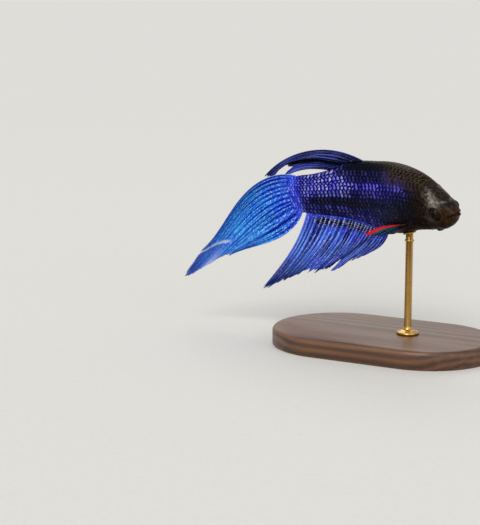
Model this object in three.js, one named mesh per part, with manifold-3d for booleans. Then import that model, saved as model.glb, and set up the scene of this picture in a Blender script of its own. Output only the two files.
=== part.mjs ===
// A male veil-tail betta (Siamese fighting fish) at life size, held on a small display stand.
// Millimetres, +Z up. The fish faces +X, its head turned toward -Y, its back leaning the same way.
// The flesh is modelled whole and parted by thin cuts. The fins hang from a curved sheet that
// carries the line of the spine on past the tail. A still model: nothing here moves.
import * as THREE from "three";
import { mergeVertices } from "three/addons/utils/BufferGeometryUtils.js";
import Module from "manifold-3d";

const wasm = await Module();
wasm.setup();

// ---- Driving dimensions of the pose
const STANDARD_LENGTH = 45; // snout to the end of the tail stem
const HEAD_YAW = 28; // degrees the head is turned toward -Y
const TAIL_YAW = -2; // degrees at the end of the tail stem
const TAIL_FIN_YAW = -14; // degrees that the tail fin trails round to
const HEAD_SHARE = 0.3; // share of the standard length that stays straight as the head
const ROLL = 13; // degrees the back leans toward -Y
const PITCH = 5; // degrees the nose is up
const NOD = 0.007; // how fast the head line drops ahead of mid length, per millimetre
const SPINE_HEIGHT = 34; // of mid length above the floor

// ---- Driving dimensions of the stand
const BASE = { length: 50, width: 30, height: 4, chamfer: 0.8, centre: -6 };
const ROD = { radius: 0.8, flangeRadius: 2.4, flangeHeight: 1.2, seat: 0.385 };

// ---- How the solids are made
const CUT = 0.25; // the gap left by each parting cut
const FIN_THICKNESS = { root: 0.6, margin: 0.5 };
const RING_SIDES = 28;
const SPINE_STEP = 0.25;

const RIGHT = 1; // the side toward -Y
const LEFT = -1;

// Rows of the body, as shares of the standard length: distance from the snout, reach above the
// spine line, reach below it, half width.
const BODY_ROWS = [
  [0.0, 0.01, 0.014, 0.018],
  [0.02, 0.026, 0.041, 0.034],
  [0.06, 0.05, 0.075, 0.053],
  [0.12, 0.086, 0.112, 0.069],
  [0.2, 0.127, 0.137, 0.081],
  [0.3, 0.15, 0.162, 0.085],
  [0.4, 0.159, 0.193, 0.082],
  [0.5, 0.16, 0.196, 0.074],
  [0.6, 0.163, 0.171, 0.064],
  [0.7, 0.156, 0.141, 0.053],
  [0.8, 0.124, 0.123, 0.041],
  [0.9, 0.104, 0.111, 0.029],
  [1.0, 0.095, 0.099, 0.018],
  [1.04, 0.086, 0.09, 0.012],
];

// Key rays of each fin. A ray leaves its root at an angle in degrees above the line toward the tail,
// and turns by bend + curl over its length, curl coming late. Sway is how far its tip stands off the
// sheet, fold how far its middle does. The root is the ray's distance from the snout as a share of
// the standard length in the dorsal and anal fins, front ray first, and its height on the spine
// line's scale in the others, top ray first.
const RAY_COLUMNS = ["root", "angle", "length", "bend", "curl", "sway", "fold"];
const DORSAL_RAYS = [
  [0.575, 28, 30.2, -64, -8, -1.6, 0],
  [0.635, 25, 25.8, -73, 8, -2.4, -0.6],
  [0.695, 12, 21.1, 8, -74, -1.8, 0.5],
  [0.75, 2, 16, 22, -66, -2.2, -0.3],
  [0.8, 14, 11.9, -40, 1, -1.6, 0.2],
];
const ANAL_RAYS = [
  [0.52, -66, 6.9, 39, 6, 0.4, 0],
  [0.56, -56, 13.1, 53, -32, -0.6, 0.2],
  [0.612, -54, 16, 36, -22, 0.8, -0.4],
  [0.668, -59, 17.4, 34, -12, -0.6, 0.6],
  [0.735, -63, 18, 32, -3, 1, -0.5],
  [0.82, -68, 19.9, 60, -34, -0.8, 0.6],
  [0.905, -64, 23.4, 32, -4, 1, -0.5],
  [0.975, -67, 24.3, 48, -27, -0.6, -0.4],
];
const CAUDAL_RAYS = [
  [4.3, 20, 33.1, -206, 152, 1.2, 1.2],
  [2.2, 12, 39.7, -189, 146, 0.4, -0.6],
  [0, 0, 33.3, -120, 82, 0.8, -1],
  [-2.2, -16, 24.9, -52, 36, 0.3, 0.4],
  [-4.4, -66, 22.6, 162, -125, 1.2, 1],
];
const PECTORAL_RAYS = [
  [-0.9, 8, 6, -20, 0, 1, 0.3],
  [-1.3, -4, 8.4, -20, 0, 1.7, 0.6],
  [-1.8, -18, 9, -16, 0, 2.2, 0.8],
  [-2.3, -34, 8.2, -8, 0, 2.3, 0.8],
  [-2.7, -50, 5.6, 4, 0, 1.8, 0.5],
];
const PELVIC_RAYS = [
  [-4.9, -14, 15.6, 31, -50, -0.7, 0],
  [-5.3, -19, 10.4, 10, -14, -0.5, 0.1],
  [-5.7, -26, 5.6, 4, 0, -0.3, 0.1],
];

// Places on the head and flank. Stations are shares of the standard length from the snout; heights
// and sides are millimetres from the spine line. The jaw's corners are distances behind the snout
// and heights.
const EYE = { radius: 1.45, station: 0.088, height: -0.6, side: 2.15, socket: 0.15 };
const GILL_COVER = { station: 0.228, height: -0.9, halfLength: 2.9, halfHeight: 4.3, inner: 2 };
const PECTORAL = { station: 0.305, side: 4.15 };
const PELVIC = { station: 0.305, side: 3.35 };
const JAW = { hinge: [2.7, -1.75], lip: [-1.5, 0.35], back: [3.3, -6.0], front: [-2.5, -6.0] };
const NECK = 0.292; // share of the standard length where head and trunk part
const TAIL_ROOT = 0.8; // the same for trunk and tail stem

// ---- Curves and frames

// A smooth curve through rows of numbers: returns the row at x, taken from the first column.
function smoothRows(rows) {
  const last = rows.length - 1;
  const rise = (i, c) => (rows[i + 1][c] - rows[i][c]) / (rows[i + 1][0] - rows[i][0]);
  const slope = (i, c) => {
    if (i === 0) return rise(0, c);
    if (i === last) return rise(last - 1, c);
    const before = rows[i][0] - rows[i - 1][0];
    const after = rows[i + 1][0] - rows[i][0];
    return (rise(i - 1, c) * after + rise(i, c) * before) / (before + after);
  };
  return (x) => {
    const i = Math.max(0, rows.findLastIndex((row, k) => k < last && row[0] <= x));
    const gap = rows[i + 1][0] - rows[i][0];
    const u = THREE.MathUtils.clamp((x - rows[i][0]) / gap, 0, 1);
    return rows[i].map((value, c) => {
      const fromValue = value * (1 + 2 * u) * (1 - u) ** 2 + rows[i + 1][c] * u * u * (3 - 2 * u);
      const fromSlope = gap * u * (1 - u) * (slope(i, c) * (1 - u) - slope(i + 1, c) * u);
      return fromValue + fromSlope;
    });
  };
}

// Yaw in radians at a distance s from the snout.
function yawAt(s) {
  const straight = HEAD_SHARE * STANDARD_LENGTH;
  const alongBody = THREE.MathUtils.smoothstep(s, straight, STANDARD_LENGTH);
  const alongFin = THREE.MathUtils.smoothstep(s, STANDARD_LENGTH, 1.75 * STANDARD_LENGTH);
  const yaw = HEAD_YAW + (TAIL_YAW - HEAD_YAW) * alongBody + (TAIL_FIN_YAW - TAIL_YAW) * alongFin;
  return THREE.MathUtils.degToRad(yaw);
}

// Points of the spine line in plan, one each SPINE_STEP, with mid length at the origin.
function makeSpine() {
  const first = -5;
  const points = [new THREE.Vector3()];
  for (let s = first; s < 1.9 * STANDARD_LENGTH; s += SPINE_STEP) {
    const yaw = yawAt(s + SPINE_STEP / 2);
    const step = new THREE.Vector3(-Math.cos(yaw), Math.sin(yaw), 0).multiplyScalar(SPINE_STEP);
    points.push(points.at(-1).clone().add(step));
  }
  const pointAt = (s) => {
    const place = (s - first) / SPINE_STEP;
    const i = Math.floor(place);
    return points[i].clone().lerp(points[i + 1], place - i);
  };
  const middle = pointAt(STANDARD_LENGTH / 2);
  return (s) => pointAt(s).sub(middle);
}
const spineAt = makeSpine();

const pitchTurn = new THREE.Matrix4().makeRotationY(-THREE.MathUtils.degToRad(PITCH));

// The body's own directions at s: back toward the tail, up, and side toward -Y.
function frameAt(s) {
  const yaw = yawAt(s);
  const lean = THREE.MathUtils.degToRad(ROLL);
  const back = new THREE.Vector3(-Math.cos(yaw), Math.sin(yaw), 0);
  const level = new THREE.Vector3(-Math.sin(yaw), -Math.cos(yaw), 0);
  const up = level.clone().multiplyScalar(Math.sin(lean)).setZ(Math.cos(lean));
  const side = level.clone().multiplyScalar(Math.cos(lean)).setZ(-Math.sin(lean));
  for (const direction of [back, up, side]) direction.transformDirection(pitchTurn);
  const point = spineAt(s).applyMatrix4(pitchTurn);
  point.z += SPINE_HEIGHT;
  return { point, back, up, side };
}

// A point of the posed fish from its straight place: s behind the snout, h above the spine line,
// w to the right.
function posed(s, h, w) {
  const { point, up, side } = frameAt(s);
  const ahead = Math.max(0, STANDARD_LENGTH / 2 - s);
  return point.addScaledVector(up, h - NOD * ahead ** 2).addScaledVector(side, w);
}

const bodyRow = smoothRows(BODY_ROWS);

// Reach above and below the spine line and half width at s, in millimetres.
function bodyAt(s) {
  const [, above, below, half] = bodyRow(s / STANDARD_LENGTH);
  return { above: above * STANDARD_LENGTH, below: below * STANDARD_LENGTH, half: half * STANDARD_LENGTH };
}

// ---- Solids

// A closed geometry as a solid, its faces turned outward whichever way they were wound.
function toSolid(geometry) {
  const bare = new THREE.BufferGeometry();
  bare.setAttribute("position", geometry.getAttribute("position").clone());
  bare.setIndex(geometry.index);
  const merged = mergeVertices(bare, 1e-4);
  const vertProperties = new Float32Array(merged.attributes.position.array);
  const triVerts = new Uint32Array(merged.index.array);
  const solid = new wasm.Manifold(new wasm.Mesh({ numProp: 3, vertProperties, triVerts }));
  if (solid.volume() > 0) return solid;
  const turned = triVerts.map((_, i) => triVerts[i % 3 === 0 ? i : i % 3 === 1 ? i + 1 : i - 1]);
  return new wasm.Manifold(new wasm.Mesh({ numProp: 3, vertProperties, triVerts: turned }));
}

function toGeometry(solid) {
  const mesh = solid.getMesh();
  const geometry = new THREE.BufferGeometry();
  geometry.setAttribute("position", new THREE.BufferAttribute(mesh.vertProperties, 3));
  geometry.setIndex(new THREE.BufferAttribute(mesh.triVerts, 1));
  const faceted = geometry.toNonIndexed();
  faceted.computeVertexNormals();
  return faceted;
}

// Moves a geometry modelled straight (x behind the snout, y up, z to the right) into the pose.
function bendToPose(geometry) {
  const bent = geometry.index ? geometry.toNonIndexed() : geometry.clone();
  const place = bent.getAttribute("position");
  for (let i = 0; i < place.count; i += 1) {
    const point = posed(place.getX(i), place.getY(i), place.getZ(i));
    place.setXYZ(i, point.x, point.y, point.z);
  }
  return bent;
}

// A closed skin over rings of points, all with the same number of sides, with a point at each end.
function loftGeometry(rings, firstEnd, lastEnd) {
  const sides = rings[0].length;
  const points = [...rings.flat(), firstEnd, lastEnd];
  const index = [];
  const at = (ring, k) => ring * sides + (k % sides);
  for (let ring = 0; ring + 1 < rings.length; ring += 1) {
    for (let k = 0; k < sides; k += 1) {
      index.push(at(ring, k), at(ring + 1, k), at(ring, k + 1));
      index.push(at(ring, k + 1), at(ring + 1, k), at(ring + 1, k + 1));
    }
  }
  for (let k = 0; k < sides; k += 1) {
    index.push(points.length - 2, at(0, k), at(0, k + 1));
    index.push(points.length - 1, at(rings.length - 1, k + 1), at(rings.length - 1, k));
  }
  return new THREE.BufferGeometry().setFromPoints(points).setIndex(index);
}

// The whole body, or one grown outward to clear the fins that meet it.
function bodySolid(grow = 0) {
  const headRings = [0, 0.008, 0.02, 0.035, 0.055, 0.08, 0.105, 0.135, 0.165, 0.2, 0.24, 0.28];
  const bodyRings = Array.from({ length: 19 }, (_, i) => 0.32 + 0.04 * i);
  const rings = [...headRings, ...bodyRings].map((share) => {
    const s = share * STANDARD_LENGTH;
    const { above, below, half } = bodyAt(s);
    return Array.from({ length: RING_SIDES }, (_, k) => {
      const turn = (2 * Math.PI * k) / RING_SIDES;
      const reach = Math.sin(turn) > 0 ? above : below;
      return posed(s, (reach + grow) * Math.sin(turn), (half + grow) * Math.cos(turn));
    });
  });
  const snout = posed(-0.25 - grow, -0.1, 0);
  const tail = posed(1.04 * STANDARD_LENGTH + grow, 0, 0);
  return toSolid(loftGeometry(rings, snout, tail));
}

// A thin wall across the body at a share of the standard length.
function cutAcross(share) {
  const wall = new THREE.BoxGeometry(CUT, 30, 20);
  wall.translate(share * STANDARD_LENGTH, 0, 0);
  return toSolid(bendToPose(wall));
}

// The part of space between two distances behind the snout.
function stretch(from, to) {
  const block = new THREE.BoxGeometry(to - from, 40, 24);
  block.translate((from + to) / 2, 0, 0);
  return toSolid(bendToPose(block));
}

// A wedge under the mouth line, straight across the head, grown all round.
function jawBlock(grow) {
  const [lip, hinge, back, front] = [JAW.lip, JAW.hinge, JAW.back, JAW.front];
  const outline = new THREE.Shape();
  outline.moveTo(lip[0] - 2 * grow, lip[1] + grow);
  outline.lineTo(front[0], front[1]);
  outline.lineTo(back[0] + grow, back[1]);
  outline.lineTo(hinge[0] + grow, hinge[1] + grow);
  const block = new THREE.ExtrudeGeometry(outline, { depth: 16, bevelEnabled: false });
  block.translate(0, 0, -8);
  return toSolid(bendToPose(block));
}

// An upright oval plug at one side of the head, from its inner face outward.
function gillPlug(side, grow) {
  const plug = new THREE.CylinderGeometry(1, 1, 8, 24);
  plug.rotateX(Math.PI / 2);
  plug.scale(GILL_COVER.halfLength + grow, GILL_COVER.halfHeight + grow, 1);
  const middle = GILL_COVER.inner - grow + 4;
  plug.translate(GILL_COVER.station * STANDARD_LENGTH, GILL_COVER.height, side * middle);
  return toSolid(bendToPose(plug));
}

function eyeBall(side, grow) {
  const ball = new THREE.SphereGeometry(EYE.radius + grow, 16, 12);
  const centre = posed(EYE.station * STANDARD_LENGTH, EYE.height, side * EYE.side);
  ball.translate(centre.x, centre.y, centre.z);
  return toSolid(ball);
}

// A fin between key rays: a sheet of even columns with true thickness, its margin cut into shallow
// points at the ray ends. rootOf gives each ray's first point from its root value.
function finSolid(rays, rootOf, { columns, steps, points, notch }) {
  const keyAt = smoothRows(rays.map((ray, i) => [i, ...ray]));
  const grid = [];
  for (let c = 0; c <= columns; c += 1) {
    const share = c / columns;
    const values = keyAt(share * (rays.length - 1)).slice(1);
    const ray = Object.fromEntries(RAY_COLUMNS.map((name, i) => [name, values[i]]));
    const start = rootOf(ray.root);
    const cutBack = notch * (0.5 - 0.5 * Math.cos(2 * Math.PI * points * share));
    const length = ray.length - cutBack;
    let [s, h] = [start.s, start.h];
    const column = [];
    for (let k = 0; k <= steps; k += 1) {
      const v = k / steps;
      const off = start.w + start.out * (ray.sway * v ** 1.5 + ray.fold * Math.sin(Math.PI * v));
      column.push(posed(s, h, off));
      const mid = v + 0.5 / steps;
      const heading = THREE.MathUtils.degToRad(ray.angle + ray.bend * mid + ray.curl * mid * mid);
      s += (length / steps) * Math.cos(heading);
      h += (length / steps) * Math.sin(heading);
    }
    grid.push(column);
  }
  return toSolid(sheetGeometry(grid));
}

// Gives a grid of points a thickness across its own surface, and closes the edges.
function sheetGeometry(grid) {
  const columns = grid.length;
  const rows = grid[0].length;
  const front = [];
  const rear = [];
  for (let c = 0; c < columns; c += 1) {
    for (let k = 0; k < rows; k += 1) {
      const across = grid[Math.min(c + 1, columns - 1)][k].clone().sub(grid[Math.max(c - 1, 0)][k]);
      const along = grid[c][Math.min(k + 1, rows - 1)].clone().sub(grid[c][Math.max(k - 1, 0)]);
      const thick = THREE.MathUtils.lerp(FIN_THICKNESS.root, FIN_THICKNESS.margin, k / (rows - 1));
      const normal = across.cross(along).normalize().multiplyScalar(thick / 2);
      front.push(grid[c][k].clone().add(normal));
      rear.push(grid[c][k].clone().sub(normal));
    }
  }
  const index = [];
  const far = columns * rows;
  const quad = (a, b, c, d) => index.push(a, b, c, a, c, d);
  for (let c = 0; c + 1 < columns; c += 1) {
    for (let k = 0; k + 1 < rows; k += 1) {
      const [a, b] = [c * rows + k, (c + 1) * rows + k];
      quad(a, b, b + 1, a + 1);
      quad(far + a, far + a + 1, far + b + 1, far + b);
    }
    const [a, b] = [c * rows, (c + 1) * rows];
    quad(a, far + a, far + b, b);
    quad(a + rows - 1, b + rows - 1, far + b + rows - 1, far + a + rows - 1);
  }
  const lastColumn = (columns - 1) * rows;
  for (let k = 0; k + 1 < rows; k += 1) {
    quad(k, k + 1, far + k + 1, far + k);
    quad(lastColumn + k, far + lastColumn + k, far + lastColumn + k + 1, lastColumn + k + 1);
  }
  return new THREE.BufferGeometry().setFromPoints([...front, ...rear]).setIndex(index);
}

// ---- Flesh: one body, its eye sockets, gill covers, jaw, neck and tail root cut from it
const body = bodySolid();
const bodyCleared = bodySolid(CUT);
const pieces = {};

const headEnd = NECK * STANDARD_LENGTH;
const tailStart = TAIL_ROOT * STANDARD_LENGTH;
let head = body.intersect(stretch(-4, headEnd)).subtract(cutAcross(NECK));
for (const [side, name] of [[LEFT, "left"], [RIGHT, "right"]]) {
  head = head.subtract(eyeBall(side, EYE.socket));
  pieces[`eye_${name}`] = eyeBall(side, 0);
  pieces[`gill_cover_${name}`] = head.intersect(gillPlug(side, 0));
  head = head.subtract(gillPlug(side, CUT));
}
pieces.lower_jaw = head.intersect(jawBlock(0));
pieces.head = head.subtract(jawBlock(CUT));
pieces.trunk = body.intersect(stretch(headEnd, tailStart)).subtract(cutAcross(NECK));
pieces.trunk = pieces.trunk.subtract(cutAcross(TAIL_ROOT));
pieces.tail_stem = body.intersect(stretch(tailStart, 60)).subtract(cutAcross(TAIL_ROOT));

// ---- Fins
const inBack = (share) => {
  const s = share * STANDARD_LENGTH;
  return { s, h: bodyAt(s).above - 0.4, w: 0, out: 1 };
};
const inBelly = (share) => {
  const s = share * STANDARD_LENGTH;
  return { s, h: 0.4 - bodyAt(s).below, w: 0, out: 1 };
};
const inTail = (height) => ({ s: STANDARD_LENGTH, h: height, w: 0, out: 1 });
const DORSAL_SHEET = { columns: 16, steps: 10, points: 4, notch: 0.8 };
const ANAL_SHEET = { columns: 28, steps: 9, points: 7, notch: 1 };
const CAUDAL_SHEET = { columns: 20, steps: 14, points: 5, notch: 0.8 };
pieces.dorsal_fin = finSolid(DORSAL_RAYS, inBack, DORSAL_SHEET).subtract(bodyCleared);
pieces.anal_fin = finSolid(ANAL_RAYS, inBelly, ANAL_SHEET).subtract(bodyCleared);
pieces.caudal_fin = finSolid(CAUDAL_RAYS, inTail, CAUDAL_SHEET).subtract(bodyCleared);

for (const [side, name] of [[LEFT, "left"], [RIGHT, "right"]]) {
  const onFlank = (height) => {
    return { s: PECTORAL.station * STANDARD_LENGTH, h: height, w: side * PECTORAL.side, out: side };
  };
  const onThroat = (height) => {
    return { s: PELVIC.station * STANDARD_LENGTH, h: height, w: side * PELVIC.side, out: side };
  };
  const pectoral = finSolid(PECTORAL_RAYS, onFlank, { columns: 8, steps: 5, points: 1, notch: 0 });
  const pelvic = finSolid(PELVIC_RAYS, onThroat, { columns: 4, steps: 8, points: 1, notch: 0 });
  pieces[`pectoral_fin_${name}`] = pectoral.subtract(bodyCleared);
  pieces[`pelvic_fin_${name}`] = pelvic.subtract(bodyCleared);
}

// ---- Stand: a flat base with round ends, and one rod up to the belly
function baseGeometry() {
  const inner = BASE.width / 2 - BASE.chamfer;
  const reach = (BASE.length - BASE.width) / 2;
  const outline = new THREE.Shape();
  outline.absarc(reach, 0, inner, -Math.PI / 2, Math.PI / 2, false);
  outline.absarc(-reach, 0, inner, Math.PI / 2, 1.5 * Math.PI, false);
  const plate = new THREE.ExtrudeGeometry(outline, {
    depth: BASE.height - 2 * BASE.chamfer,
    curveSegments: 12,
    bevelThickness: BASE.chamfer,
    bevelSize: BASE.chamfer,
    bevelSegments: 1,
  });
  plate.translate(BASE.centre, 0, BASE.chamfer);
  return plate;
}

const belly = posed(ROD.seat * STANDARD_LENGTH, -bodyAt(ROD.seat * STANDARD_LENGTH).below, 0);

function rodGeometry() {
  const profile = [
    [0, 0],
    [ROD.flangeRadius, 0],
    [ROD.flangeRadius, 0.6 * ROD.flangeHeight],
    [0.6 * ROD.flangeRadius, ROD.flangeHeight],
    [ROD.radius, ROD.flangeHeight],
    [ROD.radius, belly.z - BASE.height + 1],
    [0, belly.z - BASE.height + 1],
  ].map(([radius, height]) => new THREE.Vector2(radius, height));
  const rod = new THREE.LatheGeometry(profile, 16);
  rod.rotateX(Math.PI / 2);
  rod.translate(belly.x, belly.y, BASE.height);
  return rod;
}

pieces.stand_base = toSolid(baseGeometry().translate(belly.x, belly.y, 0));
pieces.stand_rod = toSolid(rodGeometry()).subtract(bodyCleared);

// ---- Materials, one for each kind of surface
const FINISHES = {
  head_skin: { color: "#2a211f", roughness: 0.45, metalness: 0.1 },
  scales: { color: "#2733a8", roughness: 0.4, metalness: 0.35 },
  tail_scales: { color: "#3340c0", roughness: 0.4, metalness: 0.35 },
  eye: { color: "#0c0b0d", roughness: 0.12, metalness: 0 },
  dark_fin: { color: "#1c2468", roughness: 0.45, metalness: 0.2 },
  violet_fin: { color: "#2b35b5", roughness: 0.45, metalness: 0.25 },
  azure_fin: { color: "#2a5fdc", roughness: 0.42, metalness: 0.25 },
  clear_fin: { color: "#8f97a8", roughness: 0.5, metalness: 0 },
  red_fin: { color: "#d3232b", roughness: 0.45, metalness: 0 },
  walnut: { color: "#4a3020", roughness: 0.5, metalness: 0 },
  brass: { color: "#b08d4a", roughness: 0.35, metalness: 1 },
};
const FINISH_OF = {
  head: "head_skin",
  lower_jaw: "head_skin",
  gill_cover_left: "head_skin",
  gill_cover_right: "head_skin",
  eye_left: "eye",
  eye_right: "eye",
  trunk: "scales",
  tail_stem: "tail_scales",
  dorsal_fin: "dark_fin",
  anal_fin: "violet_fin",
  caudal_fin: "azure_fin",
  pectoral_fin_left: "clear_fin",
  pectoral_fin_right: "clear_fin",
  pelvic_fin_left: "red_fin",
  pelvic_fin_right: "red_fin",
  stand_base: "walnut",
  stand_rod: "brass",
};

// ---- The whole model, set so that the middle of its box stands on the origin
const model = new THREE.Group();
for (const [name, finish] of Object.entries(FINISH_OF)) {
  const material = new THREE.MeshStandardMaterial(FINISHES[finish]);
  const mesh = new THREE.Mesh(toGeometry(pieces[name]), material);
  mesh.name = name;
  model.add(mesh);
}
const middle = new THREE.Box3().setFromObject(model).getCenter(new THREE.Vector3());
model.position.set(-middle.x, -middle.y, 0);

export default model;
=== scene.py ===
# A male veil-tail betta as a still, life-size museum model, held over a walnut base by a brass rod.
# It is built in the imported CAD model's frame: metres, +Z up, the fish facing +X, its right side
# toward -Y.
import math

import bpy
import numpy as np
from mathutils import Matrix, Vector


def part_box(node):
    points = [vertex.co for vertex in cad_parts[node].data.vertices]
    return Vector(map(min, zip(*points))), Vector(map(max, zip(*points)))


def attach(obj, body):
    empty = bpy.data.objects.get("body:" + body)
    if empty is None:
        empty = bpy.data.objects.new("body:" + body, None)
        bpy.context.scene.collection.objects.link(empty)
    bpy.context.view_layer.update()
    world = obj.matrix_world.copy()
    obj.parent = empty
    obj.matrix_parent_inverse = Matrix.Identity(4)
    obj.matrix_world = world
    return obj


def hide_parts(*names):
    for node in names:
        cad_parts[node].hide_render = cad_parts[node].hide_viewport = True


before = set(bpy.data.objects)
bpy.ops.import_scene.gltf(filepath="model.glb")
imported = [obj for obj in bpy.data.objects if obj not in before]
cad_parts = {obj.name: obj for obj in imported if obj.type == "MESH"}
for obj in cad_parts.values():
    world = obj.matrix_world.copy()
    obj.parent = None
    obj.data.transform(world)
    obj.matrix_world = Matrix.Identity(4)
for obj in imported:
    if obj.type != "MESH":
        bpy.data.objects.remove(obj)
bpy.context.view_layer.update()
MM = 0.001

# ---------------------------------------------------------------------------------------------
# Base of the stand
# A small board of American walnut with round ends. It is sawn, sanded and oiled, with its top
# edge rounded over by hand and a fine bevel underneath.

BASE_ROUND = 0.9 * MM
BASE_BEVEL = 0.35 * MM
BASE_POINTS = 160  # round the board's outline
GRAIN_WIDTH = 1.5 * MM  # thickness of a year's growth
PORE_WIDTH = 0.16 * MM
HEART = (5 * MM, 14 * MM)  # how far the heart of the tree lies from the board, across and down


def linear(code):
    """An sRGB hex colour as the linear colour that a node takes."""
    parts = [int(code[i : i + 2], 16) / 255 for i in (1, 3, 5)]
    return [p / 12.92 if p <= 0.04045 else ((p + 0.055) / 1.055) ** 2.4 for p in parts] + [1]


def add(owner, kind, *values, steps=(), **settings):
    """Adds a node to a material, world or tree, sets its properties, and sets or links its inputs.

    Values go to the node's open inputs in order, and a dict gives inputs by name. A value is a
    number, a hex colour, a socket, or a node, which stands for its first open output. Steps are a
    colour ramp's places and hex colours.
    """
    tree = getattr(owner, "node_tree", owner)
    node = tree.nodes.new(kind if "Node" in kind else "ShaderNode" + kind)
    for name, value in settings.items():
        setattr(node, name, value)
    given = {}
    for value in values:
        given.update(value if isinstance(value, dict) else {len(given): value})
    open_inputs = [socket for socket in node.inputs if socket.enabled]
    for name, value in given.items():
        socket = open_inputs[name] if isinstance(name, int) else node.inputs[name]
        if isinstance(value, bpy.types.Node):
            value = next(output for output in value.outputs if output.enabled)
        if isinstance(value, bpy.types.NodeSocket):
            tree.links.new(value, socket)
        else:
            is_colour = isinstance(value, str) and value.startswith("#")
            socket.default_value = linear(value) if is_colour else value
    for _ in steps[2:]:
        node.color_ramp.elements.new(0.5)
    for element, (place, code) in zip(node.color_ramp.elements if steps else (), steps):
        element.position = place
        element.color = linear(code)
    return node


def finish_of(name):
    """A new material with an empty node tree."""
    material = bpy.data.materials.new(name)
    material.use_nodes = True
    material.node_tree.nodes.clear()
    return material


def set_on_body(name, mesh):
    """A finished mesh as a piece that rides on the model's one body."""
    piece = bpy.data.objects.new(name, mesh)
    bpy.context.scene.collection.objects.link(piece)
    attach(piece, "root")
    return piece


def new_piece(name, points, faces, material, slot):
    """A smooth-shaded piece from its points and faces."""
    mesh = bpy.data.meshes.new(name)
    mesh.from_pydata([tuple(p) for p in points], [], [tuple(f) for f in faces])
    mesh.validate()
    mesh.shade_smooth()
    mesh.materials.append(material)
    return set_on_body(name, mesh)


def rings_closed(rings):
    """Faces round stacked rings of points, all of one size, with a face closing each end."""
    count = len(rings[0])
    faces = []
    for r in range(len(rings) - 1):
        for k in range(count):
            a, b = r * count + k, r * count + (k + 1) % count
            faces.append((a, b, b + count, a + count))
    faces.append(tuple(range(count))[::-1])
    faces.append(tuple(range((len(rings) - 1) * count, len(rings) * count)))
    return faces


def oiled_walnut():
    # Open-pored brown wood under thin oil: satin, cut beside the heart of the tree, so the growth
    # rings run along the board and curve over on its ends. They sway over 11 mm, and between them
    # lie streaks 1.1 mm wide and fine dark pores.
    wood = finish_of("oiled_walnut_satin")
    place = add(wood, "TexCoord").outputs["Object"]
    heart = add(wood, "Mapping", place, {"Location": (0, *HEART), "Scale": (0.1, 1, 1)})
    sway = add(wood, "TexNoise", {"Vector": heart, "Scale": 0.09 / MM, "Detail": 3.0})
    bent = add(wood, "Mix", 0.004, heart, sway.outputs[1], data_type="VECTOR")
    waves = {"Vector": bent.outputs[1], "Distortion": 1.5, "Detail": 2.0}
    waves["Scale"] = 0.31 / GRAIN_WIDTH  # the node sets its rings 0.31 / Scale apart
    rings = add(wood, "TexWave", waves, wave_type="RINGS", rings_direction="X")
    fibre = add(wood, "Mapping", place, {"Scale": (0.05, 1, 1)})
    streak = add(wood, "TexNoise", {"Vector": fibre, "Scale": 0.9 / MM, "Detail": 4.0})
    pores = add(wood, "TexNoise", {"Vector": fibre, "Scale": 3 / PORE_WIDTH, "Detail": 2.0})
    pore = add(wood, "MapRange", pores, 0.6, 0.7)
    term = add(wood, "Math", streak, 0.45, operation="MULTIPLY")
    tone = add(wood, "Math", rings.outputs[1], 0.3, term, operation="MULTIPLY_ADD")
    tone = add(wood, "Math", sway, 0.3, tone, operation="MULTIPLY_ADD")
    steps = [(0.3, "#3a2317"), (0.5, "#54351f"), (0.68, "#6b4529"), (0.85, "#7f573a")]
    grain = add(wood, "ValToRGB", tone, steps=steps)
    weight = add(wood, "Math", pore, 0.8, operation="MULTIPLY")
    colour = add(wood, "Mix", weight, grain, "#24150d", data_type="RGBA")
    term = add(wood, "Math", tone, 0.3, operation="MULTIPLY")
    height = add(wood, "Math", term, pore, operation="SUBTRACT")
    bump = add(wood, "Bump", {"Height": height, "Strength": 0.25, "Distance": 0.06 * MM})
    gloss = add(wood, "MapRange", tone, {"To Min": 0.5, "To Max": 0.38})
    shader = add(
        wood,
        "BsdfPrincipled",
        {
            "Base Color": colour,
            "Roughness": gloss,
            "Normal": bump,
            "Coat Weight": 0.12,
            "Coat Roughness": 0.25,
        },
    )
    add(wood, "OutputMaterial", shader)
    return wood


def rounded_board(low, high):
    """Points and faces of the board in its box, from the bevel underneath to the rounded top."""
    radius = (high.y - low.y) / 2
    reach = (high.x - low.x) / 2 - radius
    centre = (low + high) / 2
    levels = [(BASE_BEVEL, 0.0), (0.0, BASE_BEVEL)]
    steps = 8
    for step in range(steps + 1):
        turn = math.pi / 2 * step / steps
        inset = BASE_ROUND * (1 - math.cos(turn))
        levels.append((inset, high.z - low.z - BASE_ROUND * (1 - math.sin(turn))))
    # One more ring on the flat top keeps the shading of the rounded edge off it.
    levels.append((BASE_ROUND + 1.2 * MM, high.z - low.z))
    points = []
    for inset, height in levels:
        for k in range(BASE_POINTS):
            turn = 2 * math.pi * (k + 0.5) / BASE_POINTS
            side = reach if math.cos(turn) > 0 else -reach
            x = centre.x + side + (radius - inset) * math.cos(turn)
            points.append((x, centre.y + (radius - inset) * math.sin(turn), low.z + height))
    rings = [points[i : i + BASE_POINTS] for i in range(0, len(points), BASE_POINTS)]
    return points, rings_closed(rings)


base_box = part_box("stand_base")
board = new_piece("walnut_base", *rounded_board(*base_box), oiled_walnut(), "walnut")
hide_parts("stand_base")

# ---------------------------------------------------------------------------------------------
# Rod and cradle of the stand
# A turned brass rod on a small foot, and a thin saddle that is bent to the belly and soldered to
# the rod's end. Both are brushed and lacquered, so they stay bright and only softly shiny.

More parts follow.
